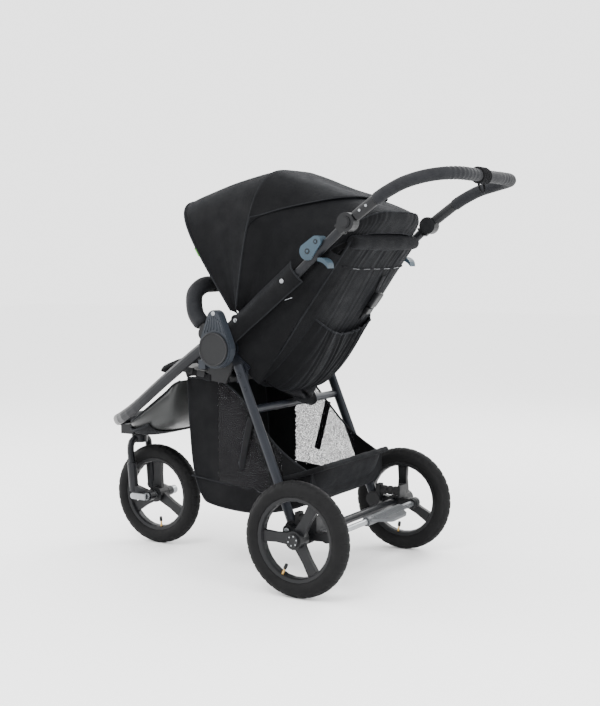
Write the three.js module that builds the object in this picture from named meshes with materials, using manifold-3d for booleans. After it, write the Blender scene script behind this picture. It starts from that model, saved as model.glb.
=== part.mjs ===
// A three-wheel folding baby stroller. Millimetres, +Z up, the child faces -Y and sits with its left to +X.
// Positions inside the group are measured from the floor under the middle of the rear axle, and FRAME_SHIFT
// moves the whole stroller so that its origin is the middle of its box on the floor.
import * as THREE from "three";
import { mergeVertices } from "three/addons/utils/BufferGeometryUtils.js";
import Module from "manifold-3d";

const wasm = await Module();
wasm.setup();

// ---- Driving dimensions ------------------------------------------------------------------------------------
const FRAME_SHIFT = 212;
const GAP = 0.4;

const WHEEL_RADIUS = 150;
const TYRE_RADIUS = 24;
const HALF_TRACK = 300;
const FRONT_AXLE_Y = -674;
const BEAD_ANGLE = 130;
const RIM_RADIUS = 109.3;
const WHEEL_HUB_RADIUS = 24;
const WHEEL_HUB_HALF = 20;
const AXLE_RADIUS = 6;
const AXLE_TUBE_RADIUS = 11;

const HUB = { y: -268, z: 620 };
const HUB_PIN_RADIUS = 9;
const PUSH_X = 233;
const PUSH_RADIUS = 12;
const JOINT = { y: 112, z: 946 };
const JOINT_RADIUS = 24;
const LATCH = { y: 6, z: 873 };
const CANOPY_PIVOT = { y: -231, z: 698 };
const LEG_X = 225;
const LEG_TOP = { y: -227, z: 575 };
const FOOT = { y: -55, z: 158 };
const CROSSBAR = { y: -186, z: 458 };
const BRAKE = { y: 60, z: 152 };
const BUMPER = { y: -352, z: 655 };
const CALF = { y: -474, z: 575 };
const SWIVEL_Y = -745;
const FORK_X = 44;
const RECLINE = { y: -190, z: 545 };
const BACK_ANGLE = 53;
const SEAT_ANGLE = -7.8;
const BASKET_HALF = 197;
const BASKET_WALL = 4;

const COLOURS = {
  frame: [0x15171a, 0.45, 0.6],
  leg: [0x232b34, 0.4, 0.6],
  plastic: [0x14161a, 0.6, 0.0],
  trigger: [0x5a6c78, 0.5, 0.1],
  steel: [0x8b9196, 0.35, 0.9],
  fabric: [0x121316, 0.95, 0.0],
  panel: [0x4a4d50, 0.5, 0.0],
  foam: [0x1a1d21, 0.85, 0.0],
  tyre: [0x131416, 0.9, 0.0],
  rubber: [0x101113, 0.9, 0.0],
};

// ---- Solids ------------------------------------------------------------------------------------------------
function solidOf(geometry) {
  const loose = geometry.index ? geometry.toNonIndexed() : geometry.clone();
  loose.deleteAttribute("normal");
  loose.deleteAttribute("uv");
  const merged = mergeVertices(loose, 1e-3);
  return new wasm.Manifold(
    new wasm.Mesh({
      numProp: 3,
      vertProperties: merged.attributes.position.array,
      triVerts: new Uint32Array(merged.index.array),
    }),
  );
}

function geometryOf(solid) {
  const mesh = solid.getMesh();
  const geometry = new THREE.BufferGeometry();
  geometry.setAttribute("position", new THREE.BufferAttribute(mesh.vertProperties, 3));
  geometry.setIndex(new THREE.BufferAttribute(mesh.triVerts, 1));
  geometry.computeVertexNormals();
  return geometry;
}

function join(...geometries) {
  return geometryOf(geometries.map(solidOf).reduce((sum, part) => sum.add(part)));
}

function cut(geometry, ...tools) {
  return geometryOf(tools.map(solidOf).reduce((rest, tool) => rest.subtract(tool), solidOf(geometry)));
}

// ---- Shapes ------------------------------------------------------------------------------------------------
function cylinderX(radius, x0, x1, at, segments = 16) {
  const geometry = new THREE.CylinderGeometry(radius, radius, x1 - x0, segments);
  geometry.rotateZ(-Math.PI / 2);
  geometry.translate((x0 + x1) / 2, at.y, at.z);
  return geometry;
}

function cylinderZ(radius, z0, z1, y, segments = 24) {
  const geometry = new THREE.CylinderGeometry(radius, radius, z1 - z0, segments);
  geometry.rotateX(Math.PI / 2);
  geometry.translate(0, y, (z0 + z1) / 2);
  return geometry;
}

function block(x0, x1, y0, y1, z0, z1) {
  const geometry = new THREE.BoxGeometry(x1 - x0, y1 - y0, z1 - z0);
  geometry.translate((x0 + x1) / 2, (y0 + y1) / 2, (z0 + z1) / 2);
  return geometry;
}

// A plate with its outline in the side view, as [y, z] points, from x0 to x1.
function plate(outline, x0, x1) {
  const shape = Array.isArray(outline)
    ? new THREE.Shape(outline.map((p) => new THREE.Vector2(p[0], p[1])))
    : outline;
  const geometry = new THREE.ExtrudeGeometry(shape, {
    depth: x1 - x0,
    bevelEnabled: false,
    curveSegments: 6,
  });
  const sideView = new THREE.Matrix4().makeBasis(
    new THREE.Vector3(0, 1, 0),
    new THREE.Vector3(0, 0, 1),
    new THREE.Vector3(1, 0, 0),
  );
  geometry.applyMatrix4(sideView);
  geometry.translate(x0, 0, 0);
  return geometry;
}

// A straight strip of a plate from one pivot to another.
function strip(from, to, half, x0, x1) {
  const along = new THREE.Vector2(to.y - from.y, to.z - from.z).normalize();
  const across = new THREE.Vector2(-along.y, along.x).multiplyScalar(half);
  return plate(
    [
      [from.y - across.x, from.z - across.y],
      [to.y - across.x, to.z - across.y],
      [to.y + across.x, to.z + across.y],
      [from.y + across.x, from.z + across.y],
    ],
    x0,
    x1,
  );
}

// The point a distance along the line from one pivot to another.
function along(from, to, distance) {
  const length = Math.hypot(to.y - from.y, to.z - from.z);
  return {
    y: from.y + ((to.y - from.y) * distance) / length,
    z: from.z + ((to.z - from.z) * distance) / length,
  };
}

// A bar with an oval section along a smooth curve through [x, y, z] points.
function bar(points, width, height, steps, sides = 12) {
  const section = new THREE.Shape();
  section.absellipse(0, 0, width / 2, height / 2, 0, 2 * Math.PI);
  const path = new THREE.CatmullRomCurve3(
    points.map((p) => new THREE.Vector3(...p)),
    false,
    "centripetal",
  );
  return new THREE.ExtrudeGeometry(section, {
    steps,
    extrudePath: path,
    curveSegments: sides / 2,
    bevelEnabled: false,
  });
}

// The points of a half bow repeated on the other side, ending where it began.
function bothSides(half) {
  const other = half
    .filter((p) => p[0] !== 0)
    .map((p) => [-p[0], p[1], p[2]])
    .reverse();
  return [...half, ...other];
}

// A thin closed sheet: surface(u, v) gives its outer face for u and v from 0 to 1, and the inner face lies a
// wall's thickness behind it.
function sheet(surface, wall, uSteps, vSteps) {
  const outer = [];
  const inner = [];
  const small = 1e-4;
  for (let i = 0; i <= uSteps; i += 1) {
    for (let j = 0; j <= vSteps; j += 1) {
      const u = i / uSteps;
      const v = j / vSteps;
      const point = surface(u, v);
      const alongU = surface(Math.min(u + small, 1), v).sub(surface(Math.max(u - small, 0), v));
      const alongV = surface(u, Math.min(v + small, 1)).sub(surface(u, Math.max(v - small, 0)));
      const normal = alongU.cross(alongV).normalize();
      outer.push(point);
      inner.push(point.clone().addScaledVector(normal, -wall));
    }
  }
  const row = vSteps + 1;
  const back = outer.length;
  const faces = [];
  const quad = (a, b, c, d) => faces.push(a, b, c, a, c, d);
  for (let i = 0; i < uSteps; i += 1) {
    for (let j = 0; j < vSteps; j += 1) {
      const a = i * row + j;
      quad(a, a + row, a + row + 1, a + 1);
      quad(back + a, back + a + 1, back + a + row + 1, back + a + row);
    }
  }
  for (let i = 0; i < uSteps; i += 1) {
    const low = i * row;
    const high = low + vSteps;
    quad(low, back + low, back + low + row, low + row);
    quad(high, high + row, back + high + row, back + high);
  }
  for (let j = 0; j < vSteps; j += 1) {
    const last = uSteps * row + j;
    quad(j, j + 1, back + j + 1, back + j);
    quad(last, back + last, back + last + 1, last + 1);
  }
  const geometry = new THREE.BufferGeometry();
  const positions = [...outer, ...inner].flatMap((p) => [p.x, p.y, p.z]);
  geometry.setAttribute("position", new THREE.Float32BufferAttribute(positions, 3));
  geometry.setIndex(faces);
  geometry.computeVertexNormals();
  return geometry;
}

// A padded slab: its outline in its own XY plane, rounded at the edges, thick along its own Z.
function pad(outline, thickness, round) {
  const shape = new THREE.Shape(outline.map((p) => new THREE.Vector2(p[0], p[1])));
  const geometry = new THREE.ExtrudeGeometry(shape, {
    depth: thickness - 2 * round,
    bevelEnabled: true,
    bevelThickness: round,
    bevelSize: round,
    bevelOffset: -round,
    bevelSegments: 1,
  });
  geometry.translate(0, 0, round);
  return geometry;
}

// ---- The group and its meshes ------------------------------------------------------------------------------
const stroller = new THREE.Group();
stroller.position.y = FRAME_SHIFT;

function add(name, geometry, look, parent = stroller) {
  const [color, roughness, metalness] = COLOURS[look];
  const material = new THREE.MeshStandardMaterial({ color, roughness, metalness });
  const mesh = new THREE.Mesh(geometry, material);
  mesh.name = name;
  parent.add(mesh);
  return mesh;
}

// A piece on the child's left, and its mirror image on the right.
function addPair(name, geometry, look) {
  add(`${name}_left`, geometry, look);
  const right = add(`${name}_right`, geometry, look);
  right.scale.x = -1;
}

// ---- Wheels ------------------------------------------------------------------------------------------------
function tyre() {
  const middle = WHEEL_RADIUS - TYRE_RADIUS;
  const steps = 8;
  const profile = [];
  for (let i = 0; i <= steps; i += 1) {
    const angle = THREE.MathUtils.degToRad(-BEAD_ANGLE + (2 * BEAD_ANGLE * i) / steps);
    const point = new THREE.Vector2(Math.cos(angle), Math.sin(angle)).multiplyScalar(TYRE_RADIUS);
    profile.push(point.add(new THREE.Vector2(middle, 0)));
  }
  profile.push(profile[0].clone());
  const geometry = new THREE.LatheGeometry(profile, 32);
  geometry.rotateZ(-Math.PI / 2);
  return geometry;
}

// A rim with three broad spokes, and a bore for its axle.
function rim(blind) {
  const channel = [
    [98, -8],
    [101, -14],
    [RIM_RADIUS, -16.5],
    [RIM_RADIUS, 16.5],
    [101, 14],
    [98, 8],
    [98, -8],
  ].map((p) => new THREE.Vector2(p[0], p[1]));
  const ring = new THREE.LatheGeometry(channel, 28);
  ring.rotateZ(-Math.PI / 2);
  const centre = { y: 0, z: 0 };
  const pieces = [ring, cylinderX(WHEEL_HUB_RADIUS, -WHEEL_HUB_HALF, WHEEL_HUB_HALF, centre)];
  for (let i = 0; i < 3; i += 1) {
    const spoke = plate(
      [
        [14, -16],
        [60, -12.5],
        [100, -15],
        [100, 15],
        [60, 12.5],
        [14, 16],
      ],
      -6.5,
      6.5,
    );
    spoke.rotateX((2 * Math.PI * i) / 3);
    pieces.push(spoke);
  }
  const boreEnd = blind ? WHEEL_HUB_HALF - 4 : WHEEL_HUB_HALF + 1;
  const bore = cylinderX(AXLE_RADIUS + GAP, -WHEEL_HUB_HALF - 1, boreEnd, centre, 16);
  return cut(join(...pieces), bore);
}

function addWheel(name, x, y, spokeAngle, cap) {
  const wheel = new THREE.Group();
  wheel.position.set(x, y, WHEEL_RADIUS);
  stroller.add(wheel);
  add(`${name}_tyre`, tyre(), "tyre", wheel);
  const disc = add(`${name}_rim`, rim(cap), "plastic", wheel);
  disc.rotation.x = THREE.MathUtils.degToRad(spokeAngle);
  if (cap) {
    const centre = { y: 0, z: 0 };
    const dome = join(
      cylinderX(19, WHEEL_HUB_HALF + GAP, WHEEL_HUB_HALF + 2.4, centre),
      cylinderX(16, WHEEL_HUB_HALF + 1, WHEEL_HUB_HALF + 4, centre),
    );
    add(`${name}_cap`, dome, "plastic", wheel);
  }
  if (x < 0) {
    wheel.scale.x = -1;
  }
}

addWheel("wheel_rear_left", HALF_TRACK, 0, 60, true);
addWheel("wheel_rear_right", -HALF_TRACK, 0, 90, true);
addWheel("wheel_front", 0, FRONT_AXLE_Y, 90, false);

// ---- Rear axle and brake -----------------------------------------------------------------------------------
const REAR_AXLE = { y: 0, z: WHEEL_RADIUS };
const ARM_INNER = 238;
const ARM_OUTER = 258;
const axleTubeEnd = HALF_TRACK - WHEEL_HUB_HALF - 2;
const stubEnd = HALF_TRACK + WHEEL_HUB_HALF - 6;

add(
  "axle_tube",
  join(
    cylinderX(AXLE_TUBE_RADIUS, -axleTubeEnd, axleTubeEnd, REAR_AXLE, 16),
    cylinderX(AXLE_RADIUS, -stubEnd, stubEnd, REAR_AXLE, 16),
  ),
  "frame",
);

// The arm runs from its pivot on the leg's foot, past the axle, to the brake bar. Its upright tab meets the
// spring.
addPair(
  "swing_arm",
  cut(
    join(
      cylinderX(15, ARM_INNER, ARM_OUTER, FOOT),
      cylinderX(21, ARM_INNER, ARM_OUTER, REAR_AXLE),
      cylinderX(15, ARM_INNER, ARM_OUTER, BRAKE),
      cylinderX(14, ARM_INNER - 8, ARM_INNER + 2, BRAKE),
      strip(FOOT, REAR_AXLE, 11, ARM_INNER, ARM_OUTER),
      strip(REAR_AXLE, BRAKE, 11, ARM_INNER, ARM_OUTER),
      block(ARM_INNER, ARM_OUTER, 14, 32, 150, 203),
      block(213, ARM_OUTER, 25, 32, 168, 203),
    ),
    cylinderX(8.4, ARM_INNER - 1, ARM_OUTER + 1, FOOT, 16),
    cylinderX(AXLE_TUBE_RADIUS + GAP, ARM_INNER - 1, ARM_OUTER + 1, REAR_AXLE, 16),
    cylinderX(8.4, ARM_INNER - 10, ARM_OUTER - 4, BRAKE, 16),
  ),
  "plastic",
);

add("brake_bar", cylinderX(8, -ARM_OUTER + 5, ARM_OUTER - 5, BRAKE, 16), "steel");

const pedal = new THREE.Shape();
pedal.moveTo(44, 0);
pedal.lineTo(38, 14);
pedal.quadraticCurveTo(10, 24, -12, 42);
pedal.quadraticCurveTo(-20, 48, -32, 48);
pedal.lineTo(-100, 46);
pedal.quadraticCurveTo(-112, 46, -118, 38);
pedal.quadraticCurveTo(-132, 20, -150, 14);
pedal.lineTo(-154, 0);
const pedalPlate = new THREE.ExtrudeGeometry(pedal, { depth: 8, bevelEnabled: false, curveSegments: 5 });
pedalPlate.rotateX(THREE.MathUtils.degToRad(-12));
pedalPlate.translate(0, BRAKE.y, BRAKE.z + 2);
add(
  "brake_pedal",
  cut(
    join(pedalPlate, cylinderX(12.5, -154, 44, BRAKE, 16)),
    cylinderX(8 + GAP, -160, 50, BRAKE, 16),
  ),
  "panel",
);

// ---- Rear legs ---------------------------------------------------------------------------------------------
const LEG_INNER = LEG_X - 9;
const EYE = { x0: 204, x1: 217.5 };
const legFoot = [LEG_X, FOOT.y - 6, FOOT.z + 14];

addPair(
  "leg",
  cut(
    join(
      cylinderX(36, EYE.x0, EYE.x1, HUB, 24),
      strip(HUB, along(HUB, LEG_TOP, 84), 15, EYE.x0, EYE.x1),
      block(207, EYE.x1, -236, -206, 528, 566),
      bar([[LEG_X, LEG_TOP.y, LEG_TOP.z], legFoot], 18, 28, 4, 16),
    ),
    cylinderX(HUB_PIN_RADIUS + GAP, EYE.x0 - 1, EYE.x1 + 1, HUB),
    cylinderX(22 + GAP, LEG_INNER - 4, LEG_X + 14, FOOT, 32),
  ),
  "leg",
);

addPair(
  "leg_foot",
  join(
    cylinderX(22, 211, 236.5, FOOT, 28),
    cylinderX(8, 230, 262, FOOT, 16),
    block(213, 236.5, FOOT.y + 9, FOOT.y + 22, FOOT.z, 203),
  ),
  "plastic",
);

// The spring lies along Y between the leg's foot and the swing arm's tab.
const spring = new THREE.LatheGeometry(
  [
    [0, -28.4],
    [13, -28.4],
    [13, -15],
    [10, -11],
    [13, -7],
    [13, 7],
    [10, 11],
    [13, 15],
    [13, 28.4],
    [0, 28.4],
  ].map((p) => new THREE.Vector2(p[0], p[1])),
  14,
);
spring.translate(LEG_X, -4, 186);
addPair("spring", spring, "rubber");

add(
  "rear_crossbar",
  cylinderX(11, -LEG_INNER + GAP, LEG_INNER - GAP, CROSSBAR, 16),
  "leg",
);

add(
  "basket_frame",
  bar(
    bothSides([
      [LEG_INNER - 6, -104, 277],
      [207, -88, 282],
      [205, -30, 301],
      [190, -2, 311],
      [150, 5, 314],
      [0, 7, 315],
    ]),
    10,
    10,
    24,
    6,
  ),
  "frame",
);

// ---- Front fork --------------------------------------------------------------------------------------------
const FRONT_AXLE = { y: FRONT_AXLE_Y, z: WHEEL_RADIUS };
const SLEEVE_TOP = 244;
const SLEEVE_FOOT = { y: -734, z: 166 };
const CROWN_TOP = 325;

const bladePoints = [
  [-FORK_X, -741, SLEEVE_TOP + GAP],
  [-FORK_X, -745, 280],
  [-FORK_X + 4, -745, 304],
  [-22, -745, 314],
  [0, -745, 314],
];
add(
  "fork_crown",
  join(
    bar(bothSides(bladePoints), 21, 21, 20, 10),
    cylinderZ(24, 303, CROWN_TOP, SWIVEL_Y),
    cylinderZ(9, 320, 344, SWIVEL_Y, 16),
  ),
  "frame",
);

addPair(
  "fork_leg",
  cut(
    join(
      bar([[FORK_X, -741, SLEEVE_TOP], [FORK_X, SLEEVE_FOOT.y, SLEEVE_FOOT.z - 6]], 25, 30, 3, 14),
      strip(SLEEVE_FOOT, FRONT_AXLE, 13, FORK_X - 9, FORK_X + 9),
      cylinderX(13, FORK_X - 9, FORK_X + 9, SLEEVE_FOOT),
      cylinderX(15, FORK_X - 11, FORK_X + 11, FRONT_AXLE),
    ),
    cylinderX(AXLE_RADIUS + GAP, FORK_X - 20, FORK_X + 20, FRONT_AXLE, 16),
  ),
  "frame",
);

// The axle carries a round nut on the far side and the quick-release lever's boss on the near side.
add(
  "front_axle",
  join(
    cylinderX(AXLE_RADIUS, -74, 62, FRONT_AXLE, 16),
    cylinderX(13, -76, -FORK_X - 12, FRONT_AXLE, 20),
    cylinderX(11, FORK_X + 12, 63, FRONT_AXLE, 20),
    cylinderX(11, WHEEL_HUB_HALF + 1, FORK_X - 12, FRONT_AXLE, 16),
    cylinderX(11, -FORK_X + 12, -WHEEL_HUB_HALF - 1, FRONT_AXLE, 16),
  ),
  "steel",
);

// The lever closes forward along the wheel, and opens outward about an upright pin.
const LEVER = { x: 70, half: 4, length: 42 };
const leverPin = cylinderZ(5.5, FRONT_AXLE.z - 9, FRONT_AXLE.z + 9, 0, 16);
leverPin.translate(LEVER.x, FRONT_AXLE.y, 0);
const leverOutline = new THREE.Shape();
leverOutline.moveTo(0, -9);
leverOutline.lineTo(0, 9);
leverOutline.lineTo(-LEVER.length, 9);
leverOutline.absarc(-LEVER.length, 0, 9, Math.PI / 2, (3 * Math.PI) / 2);
const leverPlate = plate(leverOutline, LEVER.x - LEVER.half, LEVER.x + LEVER.half);
leverPlate.translate(0, FRONT_AXLE.y, FRONT_AXLE.z);
add("quick_release", join(leverPin, leverPlate), "steel");

// ---- Chassis: hubs, front frame and side plates ---------------------------------------------------------------
const HOUSING = { x0: 249, x1: 276, radius: 52 };
const FORK_HEAD = { top: 371, bottom: 328, under: 357 };

// The hub housing is a drop: a round bottom, and a narrower round top above it.
function dropOutline(grow) {
  const top = { y: -269, z: 700, radius: 23 + grow };
  const radius = HOUSING.radius + grow;
  const lean = Math.asin((radius - top.radius) / (top.z - HUB.z));
  const outline = new THREE.Shape();
  outline.absarc(HUB.y, HUB.z, radius, Math.PI - lean, 2 * Math.PI + lean);
  outline.absarc(top.y, top.z, top.radius, lean, Math.PI - lean);
  return outline;
}

addPair(
  "hub_housing",
  join(
    plate(dropOutline(0), HOUSING.x0 + 3, HOUSING.x1 - 3),
    plate(dropOutline(-2.5), HOUSING.x0, HOUSING.x1),
    block(HOUSING.x0 + 2, HOUSING.x1 - 4, -322, -300, 566, 590),
  ),
  "plastic",
);

addPair("hub_cover", cylinderX(45, HOUSING.x1 + GAP, 281, HUB, 30), "plastic");

const frontRail = [
  [258, -300, 633],
  [251, -370, 587],
  [234, -480, 513],
  [211, -590, 439],
  [184, -660, 404],
  [140, -714, 388],
  [80, -758, 377],
  [0, -778, 374],
];
const railTop = cylinderX(HOUSING.radius + 1.5, 240, 290, HUB, 24);
const railTopRight = cylinderX(HOUSING.radius + 1.5, -290, -240, HUB, 24);
const nosePocket = block(-34, 34, -800, -745, 340, FORK_HEAD.under + GAP);
add(
  "front_frame",
  cut(bar(bothSides(frontRail), 20, 32, 38, 12), railTop, railTopRight, nosePocket),
  "frame",
);

addPair(
  "side_plate",
  join(
    cylinderX(32, 194, 203, HUB, 24),
    cylinderX(20, 194, 203, BUMPER, 24),
    strip(HUB, BUMPER, 18, 194, 203),
    plate(
      [
        [-352, 640],
        [-336, 528],
        [-282, 522],
        [-244, 604],
      ],
      194,
      203,
    ),
    cylinderX(HUB_PIN_RADIUS, 200, HOUSING.x0 - GAP, HUB),
  ),
  "plastic",
);

// The fork's bearing sits inside the nose of the front frame, with its foot under the frame.
add(
  "fork_head",
  cut(
    join(
      cylinderZ(25, FORK_HEAD.bottom, FORK_HEAD.top, SWIVEL_Y, 28),
      block(-30, 30, -793, SWIVEL_Y, FORK_HEAD.bottom, FORK_HEAD.under),
    ),
    cylinderZ(9 + GAP, FORK_HEAD.bottom - 1, 347, SWIVEL_Y, 16),
    bar(bothSides(frontRail), 20 + 2 * GAP, 32 + 2 * GAP, 38, 12),
  ),
  "plastic",
);

add("swivel_lock", block(-11, 11, -804, -793.5, 331, 355), "plastic");

// ---- Seat ----------------------------------------------------------------------------------------------------
const SEAT_FRONT = { y: -458, z: 562 };
const BOARD = { length: 186, thickness: 12, half: 193.5 };
const CUSHION = { length: 216, thickness: 38, half: 160 };

// Pieces of the seat pan are drawn level, then tilted back about the pan's front edge.
function tilted(geometry) {
  geometry.rotateX(THREE.MathUtils.degToRad(SEAT_ANGLE));
  geometry.translate(0, SEAT_FRONT.y, SEAT_FRONT.z);
  return geometry;
}

add(
  "seat_board",
  tilted(block(-BOARD.half, BOARD.half, 0, BOARD.length, -BOARD.thickness, 0)),
  "plastic",
);

const cushionOutline = [
  [-CUSHION.half, 12],
  [-CUSHION.half + 12, 0],
  [CUSHION.half - 12, 0],
  [CUSHION.half, 12],
  [CUSHION.half, CUSHION.length],
  [-CUSHION.half, CUSHION.length],
];
const cushion = pad(cushionOutline, CUSHION.thickness, 8);
cushion.translate(0, 0, GAP);
add("seat_cushion", tilted(cushion), "fabric");

// The backrest lies along a line at BACK_ANGLE, and its pivot is in the middle of its thickness.
const BACK = { below: 22, above: 437, low: 165, high: 185, thickness: 50 };
const back = pad(
  [
    [-BACK.low + 10, -BACK.below],
    [BACK.low - 10, -BACK.below],
    [BACK.low, -BACK.below + 12],
    [BACK.high, 170],
    [BACK.high, BACK.above - 50],
    [BACK.high - 35, BACK.above],
    [-BACK.high + 35, BACK.above],
    [-BACK.high, BACK.above - 50],
    [-BACK.high, 170],
    [-BACK.low, -BACK.below + 12],
  ],
  BACK.thickness,
  12,
);
back.translate(0, 0, -BACK.thickness / 2);
back.rotateX(THREE.MathUtils.degToRad(BACK_ANGLE));
back.translate(0, RECLINE.y, RECLINE.z);
add("seat_back", back, "fabric");

const CALF_REST = { length: 118, thickness: 22, hingeHalf: 150, endHalf: 128, angle: 20 };
const calf = pad(
  [
    [-CALF_REST.hingeHalf, -4],
    [-CALF_REST.endHalf, -CALF_REST.length + 14],
    [-CALF_REST.endHalf + 16, -CALF_REST.length],
    [CALF_REST.endHalf - 16, -CALF_REST.length],
    [CALF_REST.endHalf, -CALF_REST.length + 14],
    [CALF_REST.hingeHalf, -4],
  ],
  CALF_REST.thickness,
  8,
);
calf.translate(0, 0, -CALF_REST.thickness / 2);
calf.rotateX(THREE.MathUtils.degToRad(CALF_REST.angle));
calf.translate(0, CALF.y, CALF.z);
add("calf_rest", calf, "fabric");

// ---- Bumper bar ----------------------------------------------------------------------------------------------
const BUMPER_X = 180;
const foamBar = bar(
  bothSides([
    [BUMPER_X, -372, 677],
    [BUMPER_X, -394, 704],
    [BUMPER_X, -401, 735],
    [BUMPER_X - 4, -399, 764],
    [BUMPER_X - 30, -390, 784],
    [100, -386, 787],
    [0, -383, 788],
  ]),
  46,
  46,
  34,
  12,
);
const bumperEnd = join(
  cylinderX(15, BUMPER_X - 12, BUMPER_X + 12, BUMPER),
  strip(BUMPER, { y: -382, z: 689 }, 13, BUMPER_X - 12, BUMPER_X + 12),
);
const bumperEndRight = bumperEnd.clone();
bumperEndRight.translate(-2 * BUMPER_X, 0, 0);
add("bumper_bar", join(foamBar, bumperEnd, bumperEndRight), "foam");

// ---- Foot well and basket --------------------------------------------------------------------------------------
// The foot well is a trough hung inside the front frame: a sloping back wall, then a floor that narrows and
// rises a little to the front.
const wellStations = [
  { y: -440, z: 520, rim: 520, half: 196 },
  { y: -462, z: 452, rim: 508, half: 200 },
  { y: -494, z: 392, rim: 486, half: 190 },
  { y: -560, z: 362, rim: 442, half: 180 },
  { y: -620, z: 353, rim: 406, half: 162 },
  { y: -670, z: 356, rim: 386, half: 128 },
  { y: -712, z: 368, rim: 378, half: 70 },
];
const wellCurve = new THREE.CatmullRomCurve3(
  wellStations.map((s) => new THREE.Vector3(s.half, s.y, s.z)),
  false,
  "centripetal",
);
const rimCurve = new THREE.CatmullRomCurve3(
  wellStations.map((s) => new THREE.Vector3(s.half, s.y, s.rim)),
  false,
  "centripetal",
);

function wellSurface(u, v) {
  const floor = wellCurve.getPoint(u);
  const rim = rimCurve.getPoint(u);
  const across = Math.cos(Math.PI * v);
  const side = Math.sign(across) * Math.abs(across) ** 0.55;
  const depth = Math.sin(Math.PI * v) ** 0.6;
  return new THREE.Vector3(floor.x * side, floor.y, rim.z + (floor.z - rim.z) * depth);
}
add("foot_well", sheet(wellSurface, 4, 10, 12), "panel");

// The basket is deep in front, and low behind where it hangs from its rear frame.
const basketOutline = [
  [-414, 531],
  [-404, 360],
  [-392, 262],
  [-372, 212],
  [-335, 187],
  [-200, 180],
  [-70, 204],
  [-26, 236],
  [-18, 298],
  [-32, 310],
  [-100, 345],
  [-160, 388],
  [-228, 455],
  [-300, 505],
];
const basketInside = [
  [-414 + BASKET_WALL, 600],
  [-404 + BASKET_WALL, 362],
  [-392 + BASKET_WALL, 264],
  [-372 + BASKET_WALL, 215],
  [-335, 187 + BASKET_WALL],
  [-200, 180 + BASKET_WALL],
  [-72, 204 + BASKET_WALL],
  [-30, 238],
  [-18 - BASKET_WALL, 296],
  [-18 - BASKET_WALL, 600],
];
add(
  "basket",
  cut(
    plate(basketOutline, -BASKET_HALF, BASKET_HALF),
    plate(basketInside, -BASKET_HALF + BASKET_WALL, BASKET_HALF - BASKET_WALL),
  ),
  "fabric",
);

// ---- Push tubes, latches and handle --------------------------------------------------------------------------
const PUSH_INNER = PUSH_X - PUSH_RADIUS;
const PUSH_OUTER = PUSH_X + PUSH_RADIUS;
const pushLength = Math.hypot(JOINT.y - HUB.y, JOINT.z - HUB.z);
const pushFrom = along(HUB, JOINT, 12);
const pushTo = along(HUB, JOINT, pushLength - 30);
const pushTube = bar(
  [
    [PUSH_X, pushFrom.y, pushFrom.z],
    [PUSH_X, pushTo.y, pushTo.z],
  ],
  2 * PUSH_RADIUS,
  2 * PUSH_RADIUS,
  2,
  14,
);
const pushClearance = bar(
  [
    [PUSH_X, pushFrom.y, pushFrom.z],
    [PUSH_X, pushTo.y, pushTo.z],
  ],
  2 * (PUSH_RADIUS + GAP),
  2 * (PUSH_RADIUS + GAP),
  2,
  14,
);
const canopyFoot = along(HUB, JOINT, 66);
addPair(
  "push_tube",
  cut(
    join(
      pushTube,
      cylinderX(34, PUSH_INNER + 1, PUSH_OUTER - 1, HUB, 24),
      cylinderX(12, 219, 232, CANOPY_PIVOT),
      plate(
        [
          [CANOPY_PIVOT.y - 12, CANOPY_PIVOT.z - 2],
          [canopyFoot.y - 18, canopyFoot.z - 16],
          [canopyFoot.y + 22, canopyFoot.z + 18],
          [CANOPY_PIVOT.y + 8, CANOPY_PIVOT.z + 9],
        ],
        222,
        232,
      ),
      cylinderX(4, 204.5, 222, CANOPY_PIVOT, 12),
    ),
    cylinderX(HUB_PIN_RADIUS + GAP, PUSH_INNER - 10, PUSH_OUTER + 2, HUB),
  ),
  "frame",
);

const jointBack = along(JOINT, HUB, JOINT_RADIUS + 5.4);
addPair(
  "handle_joint",
  cut(
    join(
      cylinderX(JOINT_RADIUS, PUSH_X + 2.4, PUSH_OUTER + 5, JOINT, 20),
      strip(along(JOINT, HUB, JOINT_RADIUS + 0.6), jointBack, 14, PUSH_INNER, PUSH_OUTER + 4),
      strip(JOINT, jointBack, 14, PUSH_X + 2.4, PUSH_OUTER + 4),
    ),
    cylinderX(15, PUSH_OUTER - 3, PUSH_OUTER + 8, JOINT, 20),
  ),
  "plastic",
);
addPair(
  "handle_button",
  join(
    cylinderX(14.4, PUSH_OUTER + 1.4, PUSH_OUTER + 8, JOINT, 20),
    cylinderX(11, PUSH_OUTER + 6, PUSH_OUTER + 9.5, JOINT, 20),
  ),
  "plastic",
);

// The fold latch is a cam-shaped clamp round the push tube.
const latchOutline = new THREE.Shape();
latchOutline.absarc(LATCH.y + 22, LATCH.z + 26, 15, -0.9, 2.2);
latchOutline.absarc(LATCH.y - 2, LATCH.z + 2, 23, 2.5, 5.1);
addPair(
  "fold_latch",
  cut(plate(latchOutline, PUSH_INNER - 6, PUSH_OUTER + 6), pushClearance),
  "trigger",
);

const leverPivot = { y: LATCH.y + 30, z: LATCH.z - 19 };
const foldLever = new THREE.Shape();
foldLever.moveTo(leverPivot.y - 4, leverPivot.z - 4);
foldLever.quadraticCurveTo(leverPivot.y + 14, leverPivot.z - 6, leverPivot.y + 26, leverPivot.z - 22);
foldLever.quadraticCurveTo(leverPivot.y + 27, leverPivot.z + 2, leverPivot.y + 3, leverPivot.z + 5);
foldLever.lineTo(leverPivot.y - 3, leverPivot.z + 4);
addPair("fold_lever", plate(foldLever, PUSH_INNER - 4, PUSH_OUTER + 4), "trigger");

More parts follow.
